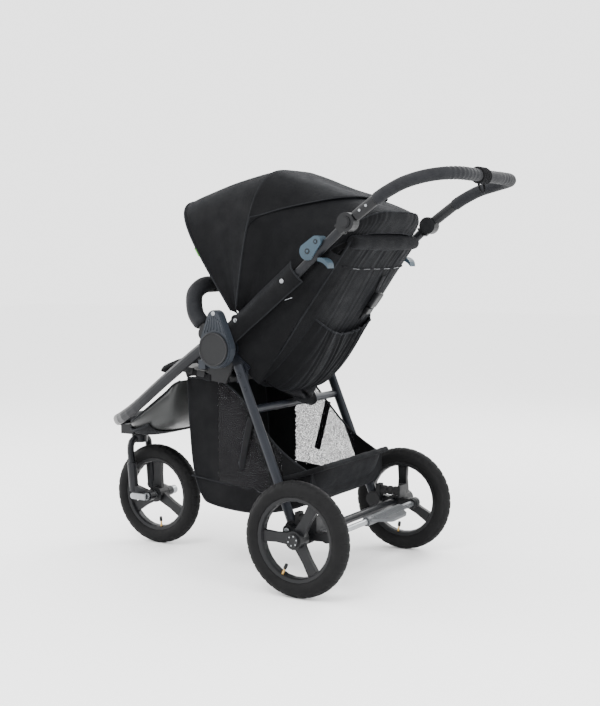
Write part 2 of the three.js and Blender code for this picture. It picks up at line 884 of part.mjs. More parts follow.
const SLEEVE_END = { y: 186, z: 998 };
const armStart = along(JOINT, SLEEVE_END, JOINT_RADIUS + 2);
addPair(
  "handle_arm",
  join(
    cylinderX(JOINT_RADIUS, PUSH_X - 14, PUSH_X + 2, JOINT, 20),
    strip(JOINT, along(JOINT, SLEEVE_END, 44), 11, PUSH_X - 9, PUSH_X + 2),
    bar(
      [
        [PUSH_X, armStart.y, armStart.z],
        [PUSH_X, SLEEVE_END.y, SLEEVE_END.z],
      ],
      26,
      28,
      2,
      16,
    ),
  ),
  "plastic",
);

const GRIP_RADIUS = 16.5;
const gripHalf = [
  [PUSH_X, SLEEVE_END.y + 1.4, SLEEVE_END.z + 1],
  [PUSH_X, 216, 1016],
  [PUSH_X, 262, 1037],
  [PUSH_X - 2, 312, 1050],
  [PUSH_X - 22, 352, 1057],
  [PUSH_X - 68, 377, 1060],
  [PUSH_X - 140, 383, 1060],
  [0, 383.5, 1060],
];
add("handle_grip", bar(bothSides(gripHalf), 2 * GRIP_RADIUS, 2 * GRIP_RADIUS, 38, 10), "foam");

// ---- Canopy --------------------------------------------------------------------------------------------------
// A bow is a wire arch in a plane through the pivots. Its place is given by its angle there, its half width
// and its height above the pivots.
const MIDDLE_BOW = { angle: 81.6, half: 214.6, height: 388, foot: 8 };
const FRONT_BOW = { angle: 121, half: 208.5, height: 378, foot: 8 };
const BOW_RADIUS = 2.6;

function bowPoint(x, radius, angle) {
  const turn = THREE.MathUtils.degToRad(angle);
  return [x, CANOPY_PIVOT.y + radius * Math.cos(turn), CANOPY_PIVOT.z + radius * Math.sin(turn)];
}

// A point of an arch that stands on feet at both sides: v is 0 at the left foot, and 1 at the right.
function archPoint({ angle, half, height, foot }, v) {
  const round = Math.PI * v;
  const across = Math.sign(Math.cos(round)) * Math.abs(Math.cos(round)) ** 0.5;
  const rise = Math.sin(round) ** 0.62;
  return bowPoint(v === 0.5 ? 0 : half * across, foot + (height - foot) * rise, angle);
}

function bow(arch) {
  const half = arch.half;
  const points = [0, 0.01, 0.05, 0.11, 0.18, 0.26, 0.34, 0.42, 0.5].map((v) => archPoint(arch, v));
  const wire = bar(bothSides(points), 2 * BOW_RADIUS, 2 * BOW_RADIUS, 26, 6);
  const eye = cylinderX(11, half - BOW_RADIUS, half + BOW_RADIUS, CANOPY_PIVOT, 20);
  const farEye = cylinderX(11, -half - BOW_RADIUS, -half + BOW_RADIUS, CANOPY_PIVOT, 20);
  const bore = cylinderX(4 + GAP, -half - 5, half + 5, CANOPY_PIVOT, 12);
  return cut(join(wire, eye, farEye), bore);
}
add("canopy_bow_middle", bow(MIDDLE_BOW), "steel");
add("canopy_bow_front", bow(FRONT_BOW), "steel");

// Fabric stretched from one angle to the next: u runs along the canopy and v across it from side to side.
function canopySurface(from, to) {
  return (u, v) => {
    const arch = {
      angle: THREE.MathUtils.lerp(from.angle, to.angle, u),
      half: THREE.MathUtils.lerp(from.half, to.half, u),
      height: THREE.MathUtils.lerp(from.height, to.height, u),
      foot: THREE.MathUtils.lerp(from.foot, to.foot, u),
    };
    return new THREE.Vector3(...archPoint(arch, v));
  };
}
const FABRIC = 2.5;
const hem = { angle: 123.5, half: 225, height: 386, foot: 26 };
const seam = { angle: 83.4, half: 231, height: 398, foot: 26 };
const seamBehind = { angle: 80.4, half: 231, height: 398, foot: 36 };
const rear = { angle: 44.5, half: 226, height: 446, foot: 36 };
add("canopy_fabric_front", sheet(canopySurface(hem, seam), FABRIC, 6, 14), "fabric");
add("canopy_fabric_rear", sheet(canopySurface(seamBehind, rear), FABRIC, 6, 14), "fabric");

export default stroller;
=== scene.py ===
"""Looks for the three-wheel stroller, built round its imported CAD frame. Metres, +Z up, the child faces -Y."""

import bpy
import math
import numpy as np
from mathutils import Matrix, Vector


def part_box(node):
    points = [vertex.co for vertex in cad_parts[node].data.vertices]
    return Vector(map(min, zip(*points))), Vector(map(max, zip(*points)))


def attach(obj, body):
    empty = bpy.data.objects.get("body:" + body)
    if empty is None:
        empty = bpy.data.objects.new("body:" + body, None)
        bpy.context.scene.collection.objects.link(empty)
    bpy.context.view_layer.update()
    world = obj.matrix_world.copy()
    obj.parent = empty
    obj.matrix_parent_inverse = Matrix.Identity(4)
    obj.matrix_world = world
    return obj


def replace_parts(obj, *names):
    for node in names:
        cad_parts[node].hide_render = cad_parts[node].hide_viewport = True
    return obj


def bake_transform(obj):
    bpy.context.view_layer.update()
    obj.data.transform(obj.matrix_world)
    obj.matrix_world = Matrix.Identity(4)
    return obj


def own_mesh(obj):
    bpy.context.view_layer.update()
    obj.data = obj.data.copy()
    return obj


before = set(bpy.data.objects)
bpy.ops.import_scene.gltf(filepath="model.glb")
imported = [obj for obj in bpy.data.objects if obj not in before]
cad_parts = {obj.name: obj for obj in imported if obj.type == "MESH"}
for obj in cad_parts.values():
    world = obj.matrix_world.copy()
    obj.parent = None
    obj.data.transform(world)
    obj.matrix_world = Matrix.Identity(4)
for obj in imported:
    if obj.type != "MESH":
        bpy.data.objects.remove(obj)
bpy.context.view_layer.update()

# ---- Places taken from the frame -------------------------------------------------------
SIDES = ((1, "left"), (-1, "right"))
WHEEL_R = 0.150
TYRE_R = 0.024
TYRE_WRAP = 2.35
AXLE_Z = 150
HUB_AXIS = (-268.0, 620.0)
CANOPY_PIVOT = (-231, 698)
HUB_CAP_FACE = 324.4
BUMPER_FOAM_R = 0.0226
GRIP_FOAM_R = 0.0158
RECLINE = np.array([0.022, 0.545])
BACK_ANGLE = math.radians(53)
SEAT_ANGLE = math.radians(-7.8)
CALF_ANGLE = math.radians(20)
CALF = np.array([-0.262, 0.575])


# ---- Camera, light and floor -----------------------------------------------------------
def make_camera():
    data = bpy.data.cameras.new("camera")
    camera = bpy.data.objects.new("camera", data)
    bpy.context.collection.objects.link(camera)
    right = Vector((-0.5197, 0.8544, -0.0054)).normalized()
    up = Vector((-0.0713, -0.0371, 0.9968)).normalized()
    back = right.cross(up).normalized()
    camera.matrix_world = Matrix.Translation((2.84563, 1.77328, 0.8623)) @ Matrix(
        (right, up, back)
    ).transposed().to_4x4()
    data.lens = 61.25
    data.sensor_width = 36
    bpy.context.scene.camera = camera


def add_area(name, place, target, size, power):
    data = bpy.data.lights.new(name, "AREA")
    data.shape = "RECTANGLE"
    data.size, data.size_y = size
    data.energy = power
    lamp = bpy.data.objects.new(name, data)
    bpy.context.collection.objects.link(lamp)
    lamp.location = place
    aim = Vector(target) - Vector(place)
    lamp.rotation_euler = aim.to_track_quat("-Z", "Y").to_euler()


def make_stage():
    mesh = bpy.data.meshes.new("floor")
    half = 14.0
    mesh.from_pydata(
        [(-half, -half, 0), (half, -half, 0), (half, half, 0), (-half, half, 0)], [], [(0, 1, 2, 3)]
    )
    floor = bpy.data.objects.new("floor", mesh)
    bpy.context.collection.objects.link(floor)
    paint = bpy.data.materials.new("floor_paint")
    paint.use_nodes = True
    shader = paint.node_tree.nodes["Principled BSDF"]
    shader.inputs["Base Color"].default_value = (0.96, 0.96, 0.96, 1)
    shader.inputs["Roughness"].default_value = 0.75
    mesh.materials.append(paint)
    world = bpy.data.worlds.new("world")
    bpy.context.scene.world = world
    world.use_nodes = True
    world.node_tree.nodes["Background"].inputs["Color"].default_value = (1, 1, 1, 1)
    world.node_tree.nodes["Background"].inputs["Strength"].default_value = 2.7
    centre = (0, 0, 0.55)
    add_area("key_light", (2.6, 0.2, 3.4), centre, (1.6, 1.6), 110)
    add_area("rear_light", (1.0, 3.4, 1.8), centre, (1.4, 2.0), 70)
    add_area("front_light", (0.6, -3.2, 1.6), centre, (1.4, 2.0), 60)
    add_area("side_light", (-3.0, 0.4, 2.4), centre, (1.6, 1.6), 50)


# ---- Materials -------------------------------------------------------------------------
class Look:
    """A node material round one Principled shader, with helpers for its colour, roughness and bump."""

    def __init__(self, name, colour, rough, metal=0.0, gloss=0.22):
        self.material = bpy.data.materials.new(name)
        self.material.use_nodes = True
        self.tree = self.material.node_tree
        self.shader = self.tree.nodes["Principled BSDF"]
        self.shader.inputs["Metallic"].default_value = metal
        self.shader.inputs["Roughness"].default_value = rough
        self.shader.inputs["Base Color"].default_value = (*colour, 1)
        self.shader.inputs["Specular IOR Level"].default_value = gloss
        self.colour = colour
        self.place = self.node("ShaderNodeTexCoord").outputs["Object"]
        self.bump = None

    def node(self, kind, **values):
        made = self.tree.nodes.new(kind)
        for key, value in values.items():
            setattr(made, key, value)
        return made

    def link(self, source, target):
        self.tree.links.new(source, target)

    def mapped(self, scale, turn=(0, 0, 0)):
        mapping = self.node("ShaderNodeMapping")
        mapping.inputs["Scale"].default_value = scale
        mapping.inputs["Rotation"].default_value = turn
        self.link(self.place, mapping.inputs["Vector"])
        return mapping.outputs["Vector"]

    def noise(self, scale, detail=3.0, stretch=(1, 1, 1)):
        made = self.node("ShaderNodeTexNoise")
        made.inputs["Scale"].default_value = scale
        made.inputs["Detail"].default_value = detail
        self.link(self.mapped(stretch), made.inputs["Vector"])
        return made.outputs["Fac"]

    def cells(self, scale):
        made = self.node("ShaderNodeTexVoronoi")
        made.inputs["Scale"].default_value = scale
        self.link(self.place, made.inputs["Vector"])
        return made.outputs["Distance"]

    def ranged(self, value, low=0.3, high=0.7, to_low=0.0, to_high=1.0):
        """Stretches values from low to high over the values from to_low to to_high."""
        made = self.node("ShaderNodeMapRange")
        for key, number in (("From Min", low), ("From Max", high), ("To Min", to_low), ("To Max", to_high)):
            made.inputs[key].default_value = number
        self.link(value, made.inputs["Value"])
        return made.outputs["Result"]

    def vary_colour(self, fac, low, high):
        mix = self.node("ShaderNodeMix", data_type="RGBA")
        mix.inputs["A"].default_value = (*[c * low for c in self.colour], 1)
        mix.inputs["B"].default_value = (*[c * high for c in self.colour], 1)
        self.link(self.ranged(fac), mix.inputs["Factor"])
        self.link(mix.outputs["Result"], self.shader.inputs["Base Color"])

    def vary_rough(self, fac, low, high):
        self.link(self.ranged(fac, to_low=low, to_high=high), self.shader.inputs["Roughness"])

    def raise_by(self, height, distance, strength=1.0):
        made = self.node("ShaderNodeBump")
        made.inputs["Distance"].default_value = distance
        made.inputs["Strength"].default_value = strength
        self.link(height, made.inputs["Height"])
        if self.bump is not None:
            self.link(self.bump, made.inputs["Normal"])
        self.bump = made.outputs["Normal"]
        self.link(self.bump, self.shader.inputs["Normal"])

    def weave(self, threads, distance):
        """Two crossed sets of threads, running aslant so that every face of a piece shows them."""
        across = self.node("ShaderNodeTexWave", wave_profile="SIN")
        across.inputs["Scale"].default_value = threads
        self.link(self.mapped((1, 1, 1), (0, 0, 0.6)), across.inputs["Vector"])
        down = self.node("ShaderNodeTexWave", wave_profile="SIN", bands_direction="Z")
        down.inputs["Scale"].default_value = threads
        self.link(self.mapped((1, 1, 1), (0.5, 0, 0)), down.inputs["Vector"])
        both = self.node("ShaderNodeMath", operation="MULTIPLY")
        self.link(across.outputs["Fac"], both.inputs[0])
        self.link(down.outputs["Fac"], both.inputs[1])
        self.raise_by(both.outputs["Value"], distance)
        return both.outputs["Value"]


def metal_look(name, colour, rough, metal=0.85):
    look = Look(name, colour, rough, metal)
    cloud = look.noise(14, 4)
    look.vary_colour(cloud, 0.85, 1.2)
    look.vary_rough(look.noise(60, 3), rough - 0.05, rough + 0.08)
    look.raise_by(look.noise(2600, 2), 0.00004, 0.5)
    return look.material


def plastic_look(name, colour, rough, grain=0.00008, gloss=0.22):
    look = Look(name, colour, rough, 0.0, gloss)
    look.vary_colour(look.noise(9, 4), 0.85, 1.2)
    look.vary_rough(look.noise(45, 3), rough - 0.06, rough + 0.08)
    look.raise_by(look.noise(1500, 2), grain, 0.6)
    return look.material


def fabric_look(name, colour, threads=420, crumple=0.0012, sheen=0.03):
    look = Look(name, colour, 0.8, 0.0, 0.08)
    look.shader.inputs["Sheen Weight"].default_value = sheen
    look.shader.inputs["Sheen Roughness"].default_value = 0.45
    look.shader.inputs["Sheen Tint"].default_value = (0.55, 0.6, 0.7, 1)
    look.vary_colour(look.noise(7, 5), 0.8, 1.3)
    look.vary_rough(look.noise(25, 4), 0.72, 0.92)
    look.raise_by(look.noise(22, 5, (1, 1, 0.45)), crumple, 0.5)
    look.weave(threads, 0.00022)
    return look.material


def foam_look(name, colour):
    look = Look(name, colour, 0.72, 0.0, 0.2)
    look.shader.inputs["Sheen Weight"].default_value = 0.03
    look.vary_colour(look.noise(12, 4), 0.85, 1.25)
    look.vary_rough(look.noise(60, 3), 0.68, 0.85)
    look.raise_by(look.cells(900), 0.00025, 0.6)
    return look.material


def leather_look(name, colour, rough):
    look = Look(name, colour, rough)
    look.vary_colour(look.noise(8, 4), 0.85, 1.2)
    look.vary_rough(look.noise(18, 4), rough - 0.08, rough + 0.1)
    look.raise_by(look.noise(9, 3), 0.002, 0.4)
    look.raise_by(look.cells(650), 0.0002, 0.5)
    return look.material


def mesh_look(name, colour):
    """Net cloth: small holes let the light through."""
    look = Look(name, colour, 0.8, 0.0, 0.1)
    look.vary_colour(look.noise(10, 3), 0.8, 1.2)
    look.link(look.ranged(look.cells(420), 0.35, 0.6, 0.12, 0.75), look.shader.inputs["Alpha"])
    return look.material


LOOKS = {
    "frame": metal_look("satin_black_frame", (0.0065, 0.007, 0.0085), 0.38, 0.3),
    "leg": metal_look("blue_black_leg", (0.008, 0.0095, 0.013), 0.36, 0.35),
    "plastic": plastic_look("black_plastic", (0.0045, 0.0048, 0.0056), 0.46),
    "trigger": plastic_look("blue_grey_plastic", (0.024, 0.040, 0.054), 0.42),
    "steel": metal_look("satin_steel", (0.24, 0.25, 0.26), 0.32, 0.9),
    "fabric": fabric_look("black_cloth", (0.0027, 0.0028, 0.0032)),
    "panel": leather_look("grey_coated_cloth", (0.02, 0.021, 0.021), 0.4),
    "pedal": plastic_look("grey_pedal", (0.06, 0.063, 0.067), 0.5),
    "foam": foam_look("black_foam", (0.0055, 0.006, 0.0075)),
    "tyre": plastic_look("tyre_rubber", (0.0045, 0.0045, 0.0048), 0.66, 0.0002, 0.1),
    "rubber": plastic_look("spring_rubber", (0.008, 0.008, 0.0085), 0.62, 0.0002),
}
PIPING = fabric_look("piping_cloth", (0.007, 0.0074, 0.0083), 700, 0.0002, 0.05)
NET = mesh_look("net_cloth", (0.012, 0.012, 0.013))
GREY_HUB = plastic_look("hub_grey_plastic", (0.013, 0.016, 0.021), 0.42)
WEBBING = fabric_look("webbing", (0.0055, 0.0055, 0.006), 900, 0.0002, 0.04)
BRASS = metal_look("brass_stem", (0.45, 0.28, 0.09), 0.3, 0.95)
FABRIC = LOOKS["fabric"]
PLASTIC = LOOKS["plastic"]
STEEL = LOOKS["steel"]
TAB = fabric_look("green_tab", (0.06, 0.20, 0.03), 900, 0.0001, 0.2)


# ---- Mesh helpers ----------------------------------------------------------------------
def at(x, y, z):
    """A point given in millimetres from the floor under the rear axle, as a point of the frame in metres."""
    return np.array([x, y + 212.0, z]) / 1000.0


def make_piece(name, verts, faces, look, body, smooth=True):
    mesh = bpy.data.meshes.new(name)
    mesh.from_pydata([tuple(map(float, v)) for v in verts], [], faces)
    mesh.validate()
    mesh.materials.append(look)
    piece = bpy.data.objects.new(name, mesh)
    bpy.context.collection.objects.link(piece)
    if smooth:
        mesh.shade_smooth()
    if body:
        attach(piece, body)
    return piece


def grid_faces(rows, columns, wrap_rows=False, wrap_columns=False):
    faces = []
    for i in range(rows if wrap_rows else rows - 1):
        for j in range(columns if wrap_columns else columns - 1):
            a = i * columns + j
            b = i * columns + (j + 1) % columns
            c = ((i + 1) % rows) * columns + (j + 1) % columns
            d = ((i + 1) % rows) * columns + j
            faces.append((a, b, c, d))
    return faces


def capped_faces(rows, columns):
    """Faces of a tube of points with both of its ends closed."""
    ends = [tuple(range(columns))[::-1], tuple((rows - 1) * columns + k for k in range(columns))]
    return grid_faces(rows, columns, False, True) + ends


def bent(value, power):
    """A sine or cosine pushed toward its ends, so that a round turns into a rounded square."""
    return math.copysign(abs(value) ** power, value)


def on_line(line, u):
    """The point a share u of the way through a line's list of points."""
    place = u * (len(line) - 1)
    k = min(int(place), len(line) - 2)
    return line[k] + (line[k + 1] - line[k]) * (place - k)


def both_sides(half):
    """Points in millimetres from the left side to the middle, and on to the right as their mirror image."""
    return [at(*p) for p in half] + [at(-x, y, z) for x, y, z in reversed(half[:-1])]


def surface_grid(surface, rows, columns):
    """Points of surface(u, v), with u down the rows and v along the columns, both from 0 to 1."""
    return [surface(i / (rows - 1), j / (columns - 1)) for i in range(rows) for j in range(columns)]


def make_cloth(name, surface, rows, columns, body=None, look=FABRIC, thick=0.0018):
    """A sheet of cloth through surface(u, v), thickened about it."""
    verts = surface_grid(surface, rows, columns)
    piece = make_piece(name, verts, grid_faces(rows, columns), look, body)
    solid = piece.modifiers.new("thickness", "SOLIDIFY")
    solid.thickness = thick
    solid.offset = 0.0
    return piece


def smooth_path(points, steps):
    """A Catmull-Rom line through the points, with the given number of steps between each pair."""
    p = np.array(points, dtype=float)
    ends = np.vstack([2 * p[0] - p[1], p, 2 * p[-1] - p[-2]])
    line = []
    for i in range(1, len(ends) - 2):
        a, b, c, d = ends[i - 1 : i + 3]
        for k in range(steps):
            t = k / steps
            line.append(0.5 * (
                2 * b + (c - a) * t + (2 * a - 5 * b + 4 * c - d) * t**2 + (3 * b - a - 3 * c + d) * t**3
            ))
    line.append(p[-1])
    return np.array(line)


def sweep(line, radius, sides=10, flat=1.0, first=(1, 0, 0), closed=False):
    """Vertices and faces of a closed tube along a line. radius may be one number or one for each point."""
    line = np.asarray(line, dtype=float)
    count = len(line)
    radii = np.full(count, radius) if np.isscalar(radius) else np.asarray(radius)
    ahead = np.roll(line, -1, 0) - np.roll(line, 1, 0) if closed else np.gradient(line, axis=0)
    ahead /= np.linalg.norm(ahead, axis=1)[:, None]
    side = np.array(first, dtype=float)
    if np.linalg.norm(np.cross(side, ahead[0])) < 0.2:
        side = np.array([0.0, 1.0, 0.0]) if abs(ahead[0][1]) < 0.8 else np.array([0.0, 0.0, 1.0])
    verts = []
    for i in range(count):
        side = side - ahead[i] * side.dot(ahead[i])
        side /= np.linalg.norm(side)
        other = np.cross(ahead[i], side)
        for k in range(sides):
            angle = 2 * math.pi * k / sides
            verts.append(line[i] + radii[i] * (math.cos(angle) * side + flat * math.sin(angle) * other))
    faces = grid_faces(count, sides, True, True) if closed else capped_faces(count, sides)
    return verts, [f[::-1] for f in faces]


def make_tube(name, line, radius, look, body, slot, **shape):
    verts, faces = sweep(line, radius, **shape)
    return make_piece(name, verts, faces, look, body)


def make_piping(name, line, radius, body):
    """A thin round cord sewn along an edge."""
    return make_tube(name, line, radius, PIPING, body, "fabric", sides=8)


def make_strap(name, line, half_width, flat, body, **shape):
    """A strap of webbing, whose thickness is flat times its width."""
    return make_tube(name, line, half_width, WEBBING, body, "fabric", sides=8, flat=flat, **shape)


def joined(parts):
    verts, faces = [], []
    for more_verts, more_faces in parts:
        start = len(verts)
        verts.extend(more_verts)
        faces.extend(tuple(start + i for i in f) for f in more_faces)
    return verts, faces


def turned(profile, steps, centre=(0, 0, 0)):
    """The (x, radius) points of a profile turned about the X direction."""
    verts = []
    for x, radius in profile:
        wide = max(radius, 1e-5)
        for k in range(steps):
            angle = 2 * math.pi * k / steps
            verts.append(np.array([x, wide * math.cos(angle), wide * math.sin(angle)]) + centre)
    return verts


def lathe_x(profile, steps, centre=(0, 0, 0)):
    """A closed solid turned about the X direction. profile is (x, radius) points from end to end."""
    return turned(profile, steps, centre), capped_faces(len(profile), steps)


def facing(profile, way):
    """A profile drawn for the left side, turned round for the right side where way is -1."""
    return [(way * x, radius) for x, radius in profile]


def soften(piece, width=0.0008, segments=2):
    edge = piece.modifiers.new("edges", "BEVEL")
    edge.width = width
    edge.segments = segments
    edge.limit_method = "ANGLE"
    edge.angle_limit = math.radians(32)


make_camera()
make_stage()

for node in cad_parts.values():
    slot_name = node.data.materials[0].name.split(".")[0]
    node.data.materials.clear()
    node.data.materials.append(LOOKS[slot_name])


# ---- Wheels ----------------------------------------------------------------------------
def tread(angle, around):
    """How far the rubber stands out at an angle round the wheel and an angle round the tyre's section."""
    shoulder = abs(around) - 0.95
    zigzag = 0.16 * abs(((angle * 18 / math.pi) % 2) - 1)
    groove = math.exp(-(((shoulder - zigzag + 0.08) / 0.07) ** 2))
    slot = math.exp(-((((angle * 36 / math.pi + 0.5) % 2) - 1) / 0.16) ** 2)
    block = 1.0 if abs(around) < 0.8 else 0.0
    middle = math.exp(-((around / 0.05) ** 2))
    return -0.0022 * groove - 0.0020 * slot * block - 0.0018 * middle


def make_tyre(name, x, y, body):
    rows, columns = 432, 30
    centre = at(x, y, AXLE_Z)
    verts = []
    for i in range(rows):
        angle = 2 * math.pi * i / rows
        for j in range(columns):
            around = -TYRE_WRAP + 2 * TYRE_WRAP * j / (columns - 1)
            radius = TYRE_R + tread(angle, around)
            out = WHEEL_R - TYRE_R + radius * math.cos(around)
            side = radius * math.sin(around)
            verts.append(centre + (side, out * math.cos(angle), out * math.sin(angle)))
    return make_piece(name, verts, grid_faces(rows, columns, True, True), LOOKS["tyre"], body)


def make_valve(name, x, y, angle, body):
    """A brass stem with a black cap, standing inward from the rim."""
    turn = math.radians(angle)
    out = np.array([0.12, math.cos(turn), math.sin(turn)])
    centre = at(x, y, AXLE_Z)
    stem = [centre + out * r for r in (0.099, 0.094, 0.088, 0.083, 0.078, 0.074)]
    make_tube(name + "_stem", stem, [0.0034, 0.0034, 0.0026, 0.0026, 0.0026, 0.0022], BRASS, body, "steel")
    cap = [centre + out * r for r in (0.084, 0.0838, 0.079, 0.072, 0.0695, 0.069)]
    make_tube(name + "_cap", cap, [0.003, 0.0042, 0.0046, 0.0044, 0.0036, 0.0012], PLASTIC, body, "plastic")


WHEELS = {
    "wheel_rear_left": (300, 0, -112, 1),
    "wheel_rear_right": (-300, 0, -96, -1),
    "wheel_front": (0, -674, -80, 1),
}
for wheel, (wheel_x, wheel_y, valve_angle, way) in WHEELS.items():
    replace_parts(make_tyre(wheel + "_tread", wheel_x, wheel_y, wheel), wheel + "_tyre")
    make_valve(wheel + "_valve", wheel_x, wheel_y, valve_angle, wheel)
    soften(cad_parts[wheel + "_rim"], 0.0012)


def make_stud(name, place, radius, height, look, body, way=1, hollow=0.0):
    """A low round head standing out along X, with a recess in the middle where hollow is not 0."""
    rise = np.array([0.0, 0.15, 0.55, 0.85, 1.0, 1.0, 1.0])
    wide = np.array([1.0, 1.0, 0.97, 0.88, 0.72, 0.5, 0.0])
    profile = [(way * height * (h - (hollow if w < 0.6 else 0)), radius * w) for h, w in zip(rise, wide)]
    verts, faces = lathe_x(profile, 20, place)
    if way < 0:
        faces = [f[::-1] for f in faces]
    return make_piece(name, verts, faces, look, body)


for way, side in SIDES:
    hub_face = way * HUB_CAP_FACE
    for k in range(6):
        turn = math.radians(60 * k + 15)
        place = at(hub_face - way * 0.4, 12.5 * math.cos(turn), AXLE_Z + 12.5 * math.sin(turn))
        make_stud(f"cap_bolt_{side}_{k}", place, 0.0022, 0.001, STEEL, "wheel_rear_" + side, way)
    ring = [(0.0, 0.0168), (0.0014, 0.0163), (0.0016, 0.0152), (0.0006, 0.0145), (0.0, 0.001)]
    verts, faces = lathe_x(facing(ring, way), 40, at(hub_face - way * 0.6, 0, AXLE_Z))
    make_piece("cap_ring_" + side, verts, faces, PLASTIC, "wheel_rear_" + side)


# ---- Canopy ----------------------------------------------------------------------------
HEM = (125.0, 225, 390, 26, 0.52)
SEAM = (82.0, 231, 399, 26, 0.60)
REAR = (37.0, 213, 462, 34, 0.50)


def arch_point(arch, v, lift=0.0):
    """A point of an arch (angle, half width, height, foot, roundness), with v from side to side."""
    angle, half, height, foot, roundness = arch
    turn = math.radians(angle)
    across = math.cos(math.pi * v)
    radius = foot + (height - foot) * max(math.sin(math.pi * v), 0.0) ** roundness + lift
    x = half * bent(across, 0.5) * (1 + lift / half)
    return at(x, CANOPY_PIVOT[0] + radius * math.cos(turn), CANOPY_PIVOT[1] + radius * math.sin(turn))


def canopy_point(start, end, u, v, lift=0.0, sag=20.0):
    """The taut cloth between two arches dips between them, and creases run down to the pivots."""
    arch = [a + (b - a) * u for a, b in zip(start, end)]
    side = abs(math.cos(math.pi * v))
    dip = -sag * math.sin(math.pi * u) * (1 - 0.55 * side)
    crease = 0.5 * math.sin(7 * math.pi * u + 3 * side) * side**3
    ripple = 0.7 * math.sin(23 * v + 9 * u) * math.sin(math.pi * u)
    return arch_point(arch, v, lift + dip + crease * math.sin(math.pi * u) + ripple)


def even(v):
    """Crowds the rows of points toward the arch's two feet, where it turns fastest."""
    return 0.5 - 0.5 * math.cos(math.pi * v) * (0.75 + 0.25 * math.cos(math.pi * v) ** 2)


front_cloth = make_cloth(
    "canopy_front_cloth", lambda u, v: canopy_point(HEM, SEAM, u, even(v)), 44, 90
)
rear_cloth = make_cloth(
    "canopy_rear_cloth", lambda u, v: canopy_point(SEAM, REAR, u, even(v), 0, 38), 44, 90
)


def along_arch(arch, lift=1.5, steps=90):
    return [arch_point(arch, even(k / steps), lift) for k in range(steps + 1)]


make_piping("canopy_hem_piping", along_arch(HEM), 0.0026, "canopy_front")
make_piping("canopy_seam_piping", along_arch(SEAM), 0.0022, "canopy_mid")


def band_point(u, v):
    """The rear edge rolls down over the top of the seat back as a soft gathered band."""
    top = arch_point(REAR, 0.17 + 0.66 * v, 1.2)
    gather = 0.0009 * math.sin(150 * v + 2 * u) + 0.0007 * math.sin(63 * v)
    out = 0.010 * math.sin(math.pi * min(u * 1.1, 1.0)) + gather
    fall = 0.060 * u * (0.6 + 0.4 * math.sin(math.pi * v))
    return top + np.array([0, out - 0.45 * fall, 0.3 * out - 0.9 * fall])


rear_band = make_cloth("canopy_rear_band", band_point, 18, 140, "upper_frame")
for name, u in (("top", 0.0), ("low", 1.0)):
    make_piping(
        "canopy_band_piping_" + name, [band_point(u, v) for v in np.linspace(0, 1, 90)], 0.0022,
        "upper_frame",
    )


def flap_point(u, v):
    """The vent flap covers the top behind the seam and stands up a little at its rounded rear edge."""
    across = 2 * v - 1
    back = 0.74 * max(1 - abs(across) ** 2.6, 0.0) ** 0.8 + 0.015
    spot = 0.5 + 0.385 * across * (1 - 0.12 * u)
    lift = 2.4 + 6 * u * (1 - abs(across) ** 3)
    return canopy_point(SEAM, REAR, u * back, spot, lift, 38)


flap = make_cloth("canopy_vent_flap", flap_point, 26, 50)
flap_edge_line = [flap_point(u, 0.0) for u in np.linspace(0, 1, 20)]
flap_edge_line += [flap_point(1.0, v) for v in np.linspace(0, 1, 50)[1:-1]]
flap_edge_line += [flap_point(u, 1.0) for u in np.linspace(1, 0, 20)]
flap_edge = make_piping("canopy_flap_piping", flap_edge_line, 0.002, None)
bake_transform(front_cloth)
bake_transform(rear_cloth)
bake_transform(flap)
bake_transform(flap_edge)
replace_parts(front_cloth, "canopy_fabric_front")
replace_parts(rear_cloth, "canopy_fabric_rear")

# The green tab is sewn into the front edge, low on the left side.
tab_foot = arch_point(HEM, 0.075, 2)
tab_head = arch_point(HEM, 0.10, 2)
tab_out = np.array([0.0006, -0.003, 0.002])
tab_face = [tab_foot, tab_head, tab_head + 2 * tab_out, tab_foot + 2 * tab_out]
make_piece(
    "canopy_tab", tab_face + [p + (0.002, 0, 0) for p in tab_face],
    [(0, 1, 2, 3), (7, 6, 5, 4), (0, 4, 5, 1), (1, 5, 6, 2), (2, 6, 7, 3), (3, 7, 4, 0)],
    TAB, "canopy_front",
)


# ---- Skirt along each push tube --------------------------------------------------------
TUBE_START = np.array(HUB_AXIS)
TUBE_WAY = np.array([112.0, 946.0]) - TUBE_START
TUBE_WAY /= np.linalg.norm(TUBE_WAY)
TUBE_UP = np.array([-TUBE_WAY[1], TUBE_WAY[0]])


def beside_tube(way, along, above, x):
    y, z = TUBE_START + TUBE_WAY * along + TUBE_UP * above
    return at(way * x, y, z)


SKIRT = smooth_path([(30, 226), (22, 236), (11, 246), (-3, 248.6), (-16, 247.6), (-27, 240)], 8)


def skirt_point(way, u, v):
    """v runs from the canopy's cloth above the tube, over its outer side, to the piped edge below."""
    above, out = SKIRT[min(int(round(v * (len(SKIRT) - 1))), len(SKIRT) - 1)]
    along = 30 + 276 * u
    wave = 0.7 * math.sin(13 * u + 4 * v) + 0.4 * math.sin(29 * u)
    return beside_tube(way, along, above + 14 * (1 - u) + 8 * (1 - v) * u, out + wave)


